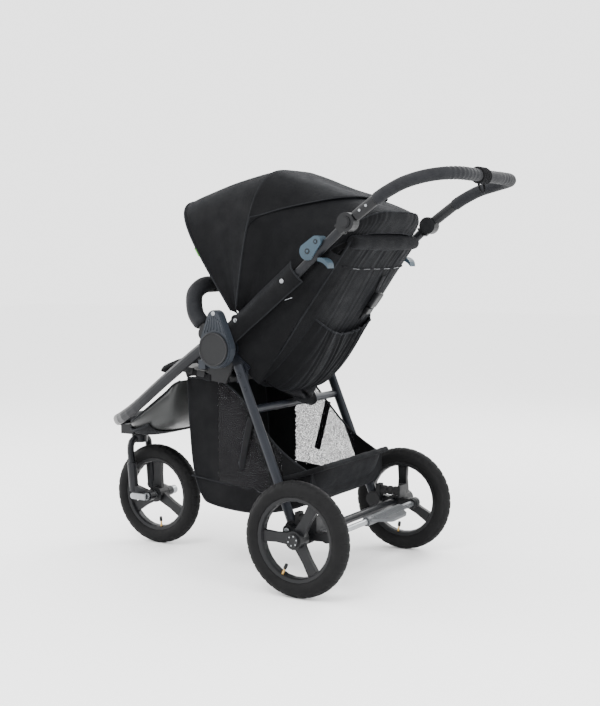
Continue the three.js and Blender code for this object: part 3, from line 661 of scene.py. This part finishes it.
for way, side in SIDES:
    skirt = make_cloth(
        "canopy_skirt_" + side, lambda u, v: skirt_point(way, u, v), 60, 26, "upper_frame"
    )
    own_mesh(skirt)
    edge = [skirt_point(way, u, 1.0) for u in np.linspace(0, 1, 40)]
    edge += [skirt_point(way, 1.0, v) for v in np.linspace(0.95, 0, 14)]
    make_piping("canopy_skirt_piping_" + side, edge, 0.0022, "upper_frame")
    for k, (u, v) in enumerate(((0.20, 0.36), (0.85, 0.5))):
        place = skirt_point(way, u, v) + (way * 0.0008, 0, 0)
        make_stud(f"canopy_snap_{side}_{k}", place, 0.0062, 0.0028, STEEL, "upper_frame", way, 0.3)
    pull = [beside_tube(way, 238 + 7 * k, -32 - 3 * k, 246) for k in range(4)]
    make_tube("canopy_zip_pull_" + side, pull, 0.0022, STEEL, "upper_frame", "steel", sides=8, flat=0.5)


# ---- Padded parts ----------------------------------------------------------------------
def slab(name, centre_line, half_at, thickness, up):
    """A closed rounded slab: centre_line(u) is its middle, half_at(u) its half width, up its upper side."""
    rows, columns = 34, 40
    verts = []
    for i in range(rows):
        u = i / (rows - 1)
        middle = centre_line(u)
        end = max(1 - abs(2 * u - 1) ** 10, 0.0) ** 0.5
        for j in range(columns):
            turn = 2 * math.pi * j / columns
            across = bent(math.cos(turn), 0.35)
            rise = bent(math.sin(turn), 0.8)
            point = middle + np.array([half_at(u) * across * (0.9 + 0.1 * end), 0, 0])
            verts.append(point + up * (thickness * 0.5 * rise * (0.25 + 0.75 * end)))
    faces = [f[::-1] for f in capped_faces(rows, columns)]
    return make_piece(name, verts, faces, FABRIC, None)


def puff(piece, cap, pressure=4.0):
    """Lets the slab swell as filled cloth, then keeps every point within cap of where it started."""
    remesh = piece.modifiers.new("remesh", "REMESH")
    remesh.mode = "VOXEL"
    remesh.voxel_size = 0.006
    apply_modifiers(piece)
    start = np.array([v.co for v in piece.data.vertices])
    cloth = piece.modifiers.new("cloth", "CLOTH")
    cloth.settings.use_pressure = True
    cloth.settings.uniform_pressure_force = pressure
    cloth.settings.effector_weights.gravity = 0
    cloth.settings.quality = 4
    scene = bpy.context.scene
    for step in range(1, 21):
        scene.frame_set(step)
        bpy.context.view_layer.update()
    apply_modifiers(piece)
    scene.frame_set(1)
    now = np.array([v.co for v in piece.data.vertices])
    move = now - start
    length = np.linalg.norm(move, axis=1)
    scale = np.minimum(1.0, cap / np.maximum(length, 1e-9))
    piece.data.vertices.foreach_set("co", (start + move * scale[:, None]).ravel())
    piece.data.update()
    smooth = piece.modifiers.new("smooth", "SMOOTH")
    smooth.iterations = 3
    finer = piece.modifiers.new("finer", "SUBSURF")
    finer.levels = 1
    apply_modifiers(piece)
    piece.data.shade_smooth()


def apply_modifiers(piece):
    graph = bpy.context.evaluated_depsgraph_get()
    made = bpy.data.meshes.new_from_object(piece.evaluated_get(graph))
    piece.modifiers.clear()
    old = piece.data
    piece.data = made
    bpy.data.meshes.remove(old)


def press_channels(piece, depth_at):
    """Presses stitched lines into a pad: depth_at(x, y, z) is how far in each point moves."""
    co = np.array([v.co for v in piece.data.vertices])
    normals = np.array([v.normal for v in piece.data.vertices])
    depth = np.array([depth_at(*p) for p in co])
    piece.data.vertices.foreach_set("co", (co - normals * depth[:, None]).ravel())
    piece.data.update()


def stitch(distance, depth, width=0.006):
    """How deep a stitched line presses the pad at a distance from it."""
    return depth * math.exp(-((distance / width) ** 2))


BACK_WAY = np.array([0, math.cos(BACK_ANGLE), math.sin(BACK_ANGLE)])
BACK_OUT = np.array([0, math.sin(BACK_ANGLE), -math.cos(BACK_ANGLE)])
BACK_FOOT = np.array([0, *RECLINE])


def back_half(u):
    along = -22 + 459 * u
    return (165 + 20 * min(max((along + 22) / 192, 0), 1)) / 1000


def back_middle(u):
    return BACK_FOOT + BACK_WAY * (-0.016 + 0.448 * u)


cushion_back = slab("seat_back_pad", back_middle, lambda u: back_half(u) - 0.008, 0.034, BACK_OUT)
puff(cushion_back, 0.008)


def back_channels(x, y, z):
    along = (y - BACK_FOOT[1]) * BACK_WAY[1] + (z - BACK_FOOT[2]) * BACK_WAY[2]
    line = min(abs(along - at_line) for at_line in (0.075, 0.19, 0.305))
    return stitch(line, 0.004) + stitch(abs(x) - 0.11, 0.003)


press_channels(cushion_back, back_channels)
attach(cushion_back, "seat_back")
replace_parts(cushion_back, "seat_back")

SEAT_WAY = np.array([0, -math.cos(SEAT_ANGLE), -math.sin(SEAT_ANGLE)])
SEAT_UP = np.array([0, -math.sin(SEAT_ANGLE), math.cos(SEAT_ANGLE)])
seat_low, seat_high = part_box("seat_cushion")


def seat_middle(u):
    y0, y1 = seat_high.y - 0.012, seat_low.y + 0.014
    y = y0 + (y1 - y0) * u
    z0, z1 = seat_low.z + 0.024, seat_high.z - 0.024
    return np.array([0, y, z0 + (z1 - z0) * u])


cushion_seat = slab("seat_pad", seat_middle, lambda u: 0.152, 0.026, SEAT_UP)
puff(cushion_seat, 0.006)
press_channels(cushion_seat, lambda x, y, z: stitch(abs(x) - 0.1, 0.003) + stitch(y + 0.16, 0.003))
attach(cushion_seat, "chassis")
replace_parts(cushion_seat, "seat_cushion")


def calf_middle(u):
    y, z = CALF - 0.004
    return np.array([0, y - 0.108 * u * math.cos(CALF_ANGLE), z - 0.108 * u * math.sin(CALF_ANGLE)])


CALF_UP = np.array([0, -math.sin(CALF_ANGLE), math.cos(CALF_ANGLE)])
calf_pad = slab("calf_pad", calf_middle, lambda u: 0.143 - 0.02 * u, 0.017, CALF_UP)
puff(calf_pad, 0.005)
press_channels(calf_pad, lambda x, y, z: stitch((x + 1) % 0.05 - 0.025, 0.0022, 0.004))
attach(calf_pad, "calf_rest")
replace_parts(calf_pad, "calf_rest")


# ---- Cover behind the seat back --------------------------------------------------------
def back_point(along, x, out):
    """along runs up the seat back from its hinge, x to its left, and out to the rear, all in millimetres."""
    return BACK_FOOT + (BACK_WAY * along + BACK_OUT * out + np.array([x, 0, 0])) / 1000


def gathers(across, u, deep):
    """Uneven folds that run up and down, sharper near the seam that gathers them."""
    place = across + 0.07 * math.sin(5.3 * across + 2.6 * u) + 0.03 * math.sin(13 * across - 2.2 * u + 1)
    fold = math.sin(place * 41 + 1.5 * u) + 0.6 * math.sin(place * 23 + 2.5 * u + 1.3)
    fold += 0.45 * math.sin(place * 77 + 4 * u) * math.sin(place * 5 + 6 * u)
    return deep * fold


def cover_point(u, v):
    """u runs from the seat's rear edge to the top, v from the right side to the left."""
    across = 2 * v - 1
    along = -52 + 34 * abs(across) ** 4 + (514 - 34 * abs(across) ** 4) * u
    half = 166 + 24 * min(u * 2.2, 1.0)
    round_side = 1 - abs(across) ** 5
    belly = 30 + 15 * math.sin(math.pi * min(u * 1.15, 1.0)) * round_side - 18 * (1 - round_side)
    low = 30 * math.exp(-u * 9)
    gathered = math.exp(-(((u - 0.06) / 0.14) ** 2)) + 0.5 * math.exp(-(((u - 0.95) / 0.08) ** 2))
    fold = gathers(across, u, 0.45 + 0.9 * gathered) * round_side
    return back_point(along, half * across, belly - low + fold)


cover = make_cloth("seat_cover_rear", cover_point, 90, 200, "seat_back")


def pocket_point(u, v):
    """The pocket hangs off the cover below the middle, gathered along its elastic top."""
    across = 2 * v - 1
    along = -30 + 22 * abs(across) ** 4 + (238 - 26 * math.cos(2.2 * across) - 22 * abs(across) ** 4) * u
    half = 152 + 16 * u
    round_side = 1 - abs(across) ** 6
    bulge = 14 + 20 * math.sin(math.pi * (0.15 + 0.75 * u)) * round_side
    fold = gathers(across * 1.1, u, 1.2 + 0.9 * u**3)
    base = 30 + 16 * round_side - 18 * (1 - round_side)
    return back_point(along, half * across, base - 20 * math.exp(-u * 8) + (bulge + fold) * round_side - 3)


pocket = make_cloth("seat_pocket", pocket_point, 60, 180, "seat_back")
make_piping(
    "seat_pocket_elastic", [pocket_point(1.0, v) for v in np.linspace(0.01, 0.99, 120)], 0.0028,
    "seat_back",
)
zip_line = [cover_point(0.84, v) + BACK_OUT * 0.002 for v in np.linspace(0.06, 0.94, 110)]
make_strap("seat_zip_tape", zip_line, 0.0045, 0.35, "seat_back")
for k in range(5):
    start = 0.14 + 0.15 * k
    piece_line = [cover_point(0.84, v) + BACK_OUT * 0.0036 for v in np.linspace(start, start + 0.09, 14)]
    make_tube(f"seat_zip_teeth_{k}", piece_line, 0.0011, STEEL, "seat_back", "steel", sides=6)
for way, side in SIDES:
    rib = [cover_point(u, 0.5 + way * 0.49) for u in np.linspace(0.02, 0.98, 60)]
    make_piping("seat_cover_piping_" + side, rib, 0.0028, "seat_back")
top_roll = [back_point(452, x, 14) for x in np.linspace(-184, 184, 40)]
roll = make_tube(
    "seat_top_roll", top_roll, [0.012 + 0.010 * math.sin(math.pi * k / 39) ** 0.3 for k in range(40)],
    FABRIC, "seat_back", "fabric", sides=18,
)

# The recline buckle sits on a webbing loop at the pocket's upper right.
strap_line = [
    cover_point(u, 0.30 + 0.02 * math.sin(9 * u)) + BACK_OUT * 0.004 for u in np.linspace(0.52, 0.80, 24)
]
make_strap("recline_strap", strap_line, 0.011, 0.1, "seat_back")


def rounded_block(name, centre, size, body, ways):
    """A plastic block with round edges; ways are its three directions and size its half lengths."""
    rows, columns, round_by = 16, 24, 0.3
    verts = []
    for i in range(rows):
        rise = math.pi * i / (rows - 1) - math.pi / 2
        for j in range(columns):
            turn = 2 * math.pi * j / columns
            level = max(math.cos(rise), 0) ** round_by
            a = bent(math.cos(turn), round_by) * level * size[0]
            b = bent(math.sin(turn), round_by) * level * size[1]
            c = bent(math.sin(rise), round_by) * size[2]
            verts.append(centre + ways[0] * a + ways[1] * b + ways[2] * c)
    return make_piece(name, verts, grid_faces(rows, columns, False, True), PLASTIC, body)


ACROSS = np.array([1.0, 0, 0])
BACK_WAYS = (ACROSS, BACK_WAY, BACK_OUT)
SEAT_WAYS = (ACROSS, SEAT_WAY, SEAT_UP)
buckle_place = cover_point(0.66, 0.30) + BACK_OUT * 0.014
slide_place = buckle_place - BACK_WAY * 0.036 + ACROSS * 0.004
rounded_block("recline_buckle", buckle_place, (0.017, 0.024, 0.007), "seat_back", BACK_WAYS)
rounded_block("recline_buckle_slide", slide_place, (0.013, 0.010, 0.006), "seat_back", BACK_WAYS)


# ---- Side panels between the seat back and the push tubes ------------------------------
def wing_point(way, u, v):
    """u runs up the seat back, v from its piped edge forward and up to the push tube."""
    edge = back_point(-22 + 430 * u, way * (172 + 18 * min(u * 2.2, 1.0)), 12)
    tube = beside_tube(way, 14 + 400 * u, 2, 215)
    fold = 0.0018 * math.sin(13 * v + 7 * u) * math.sin(math.pi * v) + 0.0014 * math.sin(31 * u) * (1 - v)
    bow = way * 0.012 * math.sin(math.pi * v)
    return edge + (tube - edge) * v + np.array([bow + way * fold, 0, -0.004 * math.sin(math.pi * v)])


for way, side in SIDES:
    wing = make_cloth(
        "seat_side_" + side, lambda u, v: wing_point(way, u, v), 60, 36
    )
    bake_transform(wing)


# ---- Basket ----------------------------------------------------------------------------
BASKET_LOW = smooth_path([
    (-414, 531), (-407, 400), (-395, 280), (-372, 212), (-335, 187), (-200, 178), (-70, 204), (-26, 236),
    (-20, 298),
], 8)
BASKET_TOP = smooth_path([
    (-414, 531), (-360, 533), (-300, 526), (-245, 490), (-196, 436), (-140, 376), (-92, 338), (-44, 310),
    (-20, 298),
], 8)
BASKET_HALF = 197


def crumple(piece):
    """The real basket's cloth folds up toward its front as the rear legs fold; here a piece is hung on the
    chassis with a mesh of its own.
    """
    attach(piece, "chassis")
    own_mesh(piece)


def basket_side(way, u, v):
    low = on_line(BASKET_LOW, u)
    top = on_line(BASKET_TOP, u)
    y, z = low + (top - low) * v
    belly = 5 * math.sin(math.pi * u) * math.sin(math.pi * v) + 1.2 * math.sin(11 * u + 6 * v)
    return at(way * (BASKET_HALF - 2 + belly), y, z)


def basket_floor(u, v):
    y, z = on_line(BASKET_LOW, u)
    across = 2 * v - 1
    middle = 1 - across**2
    sag = 7 * middle * math.sin(math.pi * u)
    ripple = 1.2 * math.sin(9 * v + 5 * u) * middle
    lift = 14 * (u - 0.8) * middle if u > 0.8 else 0.0
    return at((BASKET_HALF - 2) * across, y, z - sag + ripple + lift)


def band_top(y):
    """The height of the band's upper edge, where the side panel turns from cloth to net."""
    return 0.262 - 0.11 * (y + 0.2)


shell = make_cloth("basket_cloth", basket_floor, 70, 60)
crumple(shell)
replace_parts(shell, "basket")
for way, side in SIDES:
    panel = make_cloth(
        "basket_panel_" + side, lambda u, v: basket_side(way, u, v), 70, 40
    )
    panel.data.materials.append(NET)
    for polygon in panel.data.polygons:
        _, y, z = polygon.center
        front_part = y < -0.098
        lower_band = z < band_top(y)
        rear_part = y > 0.105
        polygon.material_index = 0 if front_part or lower_band or rear_part else 1
    crumple(panel)
    for name, v in (("low", 0.0), ("top", 1.0)):
        line = [basket_side(way, u, v) for u in np.linspace(0, 1, 80)]
        crumple(make_piping(f"basket_piping_{name}_{side}", line, 0.0028, None))
    seam = []
    for u in np.linspace(0.30, 0.93, 50):
        y = -0.19 + 0.31 * (u - 0.30) / 0.63
        seam.append(np.array([way * 0.1985, y, band_top(y)]))
    crumple(make_piping("basket_band_piping_" + side, seam, 0.0022, None))

# The basket's rear edge is wrapped round the wire that holds it.
hem_path = [(214, -118, 272), (207, -88, 282), (205, -30, 301), (190, -2, 311), (150, 5, 314), (0, 7, 315)]
hem_line = smooth_path(both_sides(hem_path), 10)
make_tube(
    "basket_rear_hem", hem_line, [0.0074 + 0.0005 * math.sin(k * 1.7) for k in range(len(hem_line))],
    FABRIC, "rear_legs", "fabric", sides=14,
)


def rear_apron(u, v):
    """The rear edge of the basket hangs from the wire down to the floor of the basket."""
    across = 2 * v - 1
    top = np.array([200 * across, 6 - 40 * abs(across) ** 6, 310 - 12 * abs(across) ** 6])
    foot = np.array([193 * across, -34 - 20 * abs(across) ** 6, 226])
    x, y, z = foot + (top - foot) * u
    return at(x, y + 4 * math.sin(math.pi * u), z + 1.5 * math.sin(19 * v) * math.sin(math.pi * u))


apron = make_cloth("basket_rear_panel", rear_apron, 24, 60, "rear_legs")


# ---- Foot well -------------------------------------------------------------------------
WELL = np.array([
    (-440, 520, 520, 196), (-462, 452, 508, 200), (-494, 392, 486, 190), (-560, 362, 442, 180),
    (-620, 353, 406, 162), (-670, 356, 386, 128), (-712, 368, 378, 70),
], dtype=float)
WELL_LINE = smooth_path(WELL, 10)


def well_point(u, v, out=0.0):
    y, floor, rim, half = on_line(WELL_LINE, u)
    across = bent(math.cos(math.pi * v), 0.55)
    depth = max(math.sin(math.pi * v), 0.0) ** 0.6
    wrinkle = 1.4 * math.sin(11 * v + 8 * u) * math.sin(math.pi * v)
    return at((half + out) * across, y, rim + (floor - rim - out) * depth + wrinkle)


well = make_cloth("foot_well_cloth", well_point, 60, 70, None, LOOKS["panel"])
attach(well, "chassis")
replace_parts(well, "foot_well")
rim_line = [well_point(u, 0.0) for u in np.linspace(0, 1, 40)]
rim_line += [well_point(1.0, v) for v in np.linspace(0.02, 0.98, 24)]
rim_line += [well_point(u, 1.0) for u in np.linspace(1, 0, 40)]
make_piping("foot_well_piping", rim_line, 0.0034, "chassis")
pouch = make_cloth(
    "foot_well_pouch",
    lambda u, v: well_point(0.52 + 0.47 * u, 0.13 + 0.74 * v, 4 + 7 * math.sin(math.pi * u)), 30, 50,
)
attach(pouch, "chassis")
for k, v in enumerate((0.13, 0.87)):
    line = [well_point(0.52 + 0.47 * u, v, 5 + 7 * math.sin(math.pi * u)) for u in np.linspace(0, 1, 26)]
    make_piping(f"foot_well_pouch_piping_{k}", line, 0.003, "chassis")


# ---- Foam bars -------------------------------------------------------------------------
bumper_half = [(180, -372, 677), (180, -394, 704), (180, -401, 735), (176, -399, 764), (150, -390, 784),
               (100, -386, 787), (0, -383, 788)]
bumper_line = smooth_path(both_sides(bumper_half), 12)
count = len(bumper_line)
bumper_radius = [BUMPER_FOAM_R * min(1.0, 0.80 + min(k, count - 1 - k) * 0.07) for k in range(count)]
bumper_foam = make_tube(
    "bumper_foam", bumper_line, bumper_radius, LOOKS["foam"], "bumper", "foam", sides=28, first=(0, 1, 0)
)
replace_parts(bumper_foam, "bumper_bar")
for way, side in SIDES:
    stalk = [at(way * 180, -352, 655), at(way * 180, -362, 665), at(way * 180, -376, 682)]
    make_tube("bumper_stalk_" + side, smooth_path(stalk, 4), 0.014, PLASTIC, "bumper", "plastic", sides=20)

grip_half = [(233, 187.4, 999), (233, 216, 1016), (233, 262, 1037), (231, 312, 1050), (211, 352, 1057),
             (165, 377, 1060), (93, 383, 1060), (0, 383.5, 1060)]
grip_line = smooth_path(both_sides(grip_half), 24)
grip_radius = []
for k, point in enumerate(grip_line):
    ribbed = abs(point[0]) < 0.2 and point[1] > 0.5
    rib = 0.0007 * math.sin(k * 1.05) if ribbed and 0.07 < abs(point[0]) else 0.0
    end = min(k, len(grip_line) - 1 - k)
    grip_radius.append((GRIP_FOAM_R + rib) * min(1.0, 0.86 + end * 0.035))
grip_foam = make_tube(
    "grip_foam", grip_line, grip_radius, LOOKS["foam"], "handlebar", "foam", sides=24, first=(1, 0, 0)
)
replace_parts(grip_foam, "handle_grip")
for k, x in enumerate(np.linspace(0.062, 0.022, 5)):
    wrap = [
        np.array([x + 0.004 * math.sin(t), 0.5955 + 0.0172 * math.cos(t), 1.060 + 0.0172 * math.sin(t)])
        for t in np.linspace(0, 2 * math.pi, 26)[:-1]
    ]
    make_strap(f"wrist_strap_wrap_{k}", wrap, 0.0042, 1.0, "handlebar", closed=True)
loop = [
    np.array([0.030 + 0.017 * math.sin(t), 0.592 - 0.004 * math.cos(t), 1.034 + 0.016 * math.cos(t)])
    for t in np.linspace(0, 2 * math.pi, 26)[:-1]
]
make_strap("wrist_strap_loop", loop, 0.003, 1.0, "handlebar", first=(0, 1, 0), closed=True)


# ---- Hub and frame hardware ------------------------------------------------------------
for way, side in SIDES:
    for node_name in (
        "hub_housing_", "hub_cover_", "handle_joint_", "fold_latch_", "fold_lever_", "leg_foot_",
    ):
        soften(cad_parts[node_name + side], 0.0016, 3)
    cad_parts["hub_housing_" + side].data.materials[0] = GREY_HUB
    for k in range(7):
        x = way * 276.2
        foot = at(x, -268 + (k - 3) * 10.5, 672 - 3 * abs(k - 3))
        head = at(x, -269 + (k - 3) * 6.2, 706 - 2.2 * abs(k - 3) ** 1.4)
        rib = [foot, (foot + head) / 2, head]
        make_tube(f"hub_rib_{side}_{k}", rib, 0.0016, GREY_HUB, "chassis", "plastic")
    place = at(way * 276, -269, 714)
    make_stud("hub_bolt_" + side, place, 0.0062, 0.003, STEEL, "chassis", way, 0.3)
    ring_profile = [(0.0, 0.0445), (0.0016, 0.044), (0.0020, 0.0425), (0.0012, 0.041), (0.0, 0.0405)]
    verts = turned(facing(ring_profile, way), 64, at(way * 280.9, *HUB_AXIS))
    faces = grid_faces(len(ring_profile), 64, False, True)
    make_piece("hub_cover_ring_" + side, verts, faces, PLASTIC, "chassis")
    for k, (y, z) in enumerate(((-217, 550), (-200, 513))):
        place = at(way * 233.6, y, z)
        make_stud(f"leg_rivet_{side}_{k}", place, 0.006, 0.0024, LOOKS["leg"], "rear_legs", way)
    for k, (y, z, radius) in enumerate(((28, 899, 0.010), (4, 875, 0.012))):
        place = at(way * 251, y, z)
        make_stud(
            f"latch_rivet_{side}_{k}", place, radius * 0.34, 0.002, LOOKS["trigger"], "upper_frame",
            way, 0.2,
        )
        washer = [(0.0, radius * 0.6), (0.0012, radius * 0.57), (0.0012, radius * 0.42), (0.0, radius * 0.38)]
        verts = turned(facing(washer, way), 32, place)
        faces = grid_faces(len(washer), 32, False, True)
        make_piece(f"latch_washer_{side}_{k}", verts, faces, PLASTIC, "upper_frame")
    place = at(way * 262, -55, 158)
    make_stud("foot_bolt_" + side, place, 0.0075, 0.003, STEEL, "rear_legs", way, 0.35)
    for k in range(2):
        place = at(way * 246, 150 + 18 * k, 974 + 11 * k)
        make_stud(f"arm_screw_{side}_{k}", place, 0.0035, 0.0016, STEEL, "handlebar", way, 0.3)


# ---- Rear springs ----------------------------------------------------------------------
for way, side in SIDES:
    reach = 0.0282
    profile = [(-reach, 0.0105), (-reach, 0.0122)]
    for k in range(25):
        share = k / 24
        pinch = math.exp(-(((share - 0.33) / 0.05) ** 2)) + math.exp(-(((share - 0.67) / 0.05) ** 2))
        profile.append((reach * (1.9 * share - 0.95), 0.013 - 0.0028 * pinch))
    profile += [(reach, 0.0122), (reach, 0.0105)]
    verts, faces = lathe_x(profile, 32)
    middle = at(way * 225, -4, 186)
    verts = [middle + (v[1], -v[0], v[2]) for v in verts]
    spring = make_piece("spring_block_" + side, verts, faces, LOOKS["rubber"], "rear_legs")
    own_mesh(spring)
    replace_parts(spring, "spring_" + side)


# ---- Pedal -----------------------------------------------------------------------------
# The cells are set by the top of the pedal's box, which is its sleeve, so they stand above its plate.
pedal_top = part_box("brake_pedal")[1].z
cells = []
for row in range(6):
    for column in range(15):
        x = -142 + column * 12.4 + (6.2 if row % 2 else 0)
        y = 73 + row * 6.2
        if x > 34 or y > 106:
            continue
        centre = at(x, y, 0) * np.array([1, 1, 0]) + np.array([0, 0, pedal_top - 0.0002])
        verts, faces = [], []
        for lift, radius in ((0.0, 0.0036), (0.0014, 0.0034), (0.0014, 0.0026), (0.0004, 0.0022)):
            for k in range(6):
                turn = math.pi * k / 3
                verts.append(centre + (radius * math.cos(turn), radius * math.sin(turn), lift))
        cells.append((verts, grid_faces(4, 6, False, True)))
verts, faces = joined(cells)
make_piece("pedal_cells", verts, faces, LOOKS["pedal"], "brake", smooth=False)


# ---- Straps under the seat -------------------------------------------------------------
def sink(piece):
    """The real slings under the seat flatten as the seat back reclines onto them; here a piece is hung on the
    chassis with a mesh of its own.
    """
    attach(piece, "chassis")
    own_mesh(piece)


for way, side in SIDES:
    for k, x in enumerate((150, 104, 58, 18)):
        start = at(way * x, -214 + 0.05 * (150 - x), 540 - 0.08 * (150 - x))
        middle = at(way * x * 0.55, -176, 500)
        strap_end = at(way * (12 + 6 * k), -150, 476)
        sling = smooth_path([start, middle, strap_end], 8)
        sink(make_strap(f"seat_sling_{side}_{k}", sling, 0.0095, 0.16, None))
    drop = [at(way * 205, -200, 436), at(way * 205, -218, 366), at(way * 201, -236, 292)]
    hanger = smooth_path(drop, 8)
    crumple(make_strap("basket_hanger_" + side, hanger, 0.010, 0.12, None, first=(0, 1, 0)))
    for k, (y, z) in enumerate(((-402, 553), (-362, 546))):
        place = at(way * 203, y, z)
        rounded_block(f"harness_clip_{side}_{k}", place, (0.006, 0.013, 0.009), "chassis", SEAT_WAYS)
    strap = [
        at(way * 203, y, 541 + 6 * math.sin(0.06 * (y + 414))) for y in np.linspace(-414, -330, 12)
    ]
    make_strap("harness_side_strap_" + side, strap, 0.009, 0.14, "chassis", first=(0, 0, 1))


def tongue_point(u, v):
    """A short tongue of cloth that hangs down behind the seat."""
    across = 2 * v - 1
    half = (62 - 24 * u**2) * (1 - 0.35 * u**4)
    return at(half * across, -178 + 46 * u, 492 - 34 * math.sin(1.5 * u) - 6 * u + 8 * across**2)


tongue = make_cloth("seat_tongue", tongue_point, 20, 30, thick=0.003)
sink(tongue)


# ---- Harness ---------------------------------------------------------------------------
for way, side in SIDES:
    strap = [back_point(40 + 330 * u, way * (58 + 6 * math.sin(3 * u)), -24 - 3 * math.sin(math.pi * u))
             for u in np.linspace(0, 1, 26)]
    make_strap("harness_strap_" + side, strap, 0.0125, 0.09, "seat_back")

# The buckle stands about 30 mm clear of the seat pad.
rounded_block("harness_buckle", at(0, -300, 628), (0.024, 0.021, 0.007), "chassis", SEAT_WAYS)
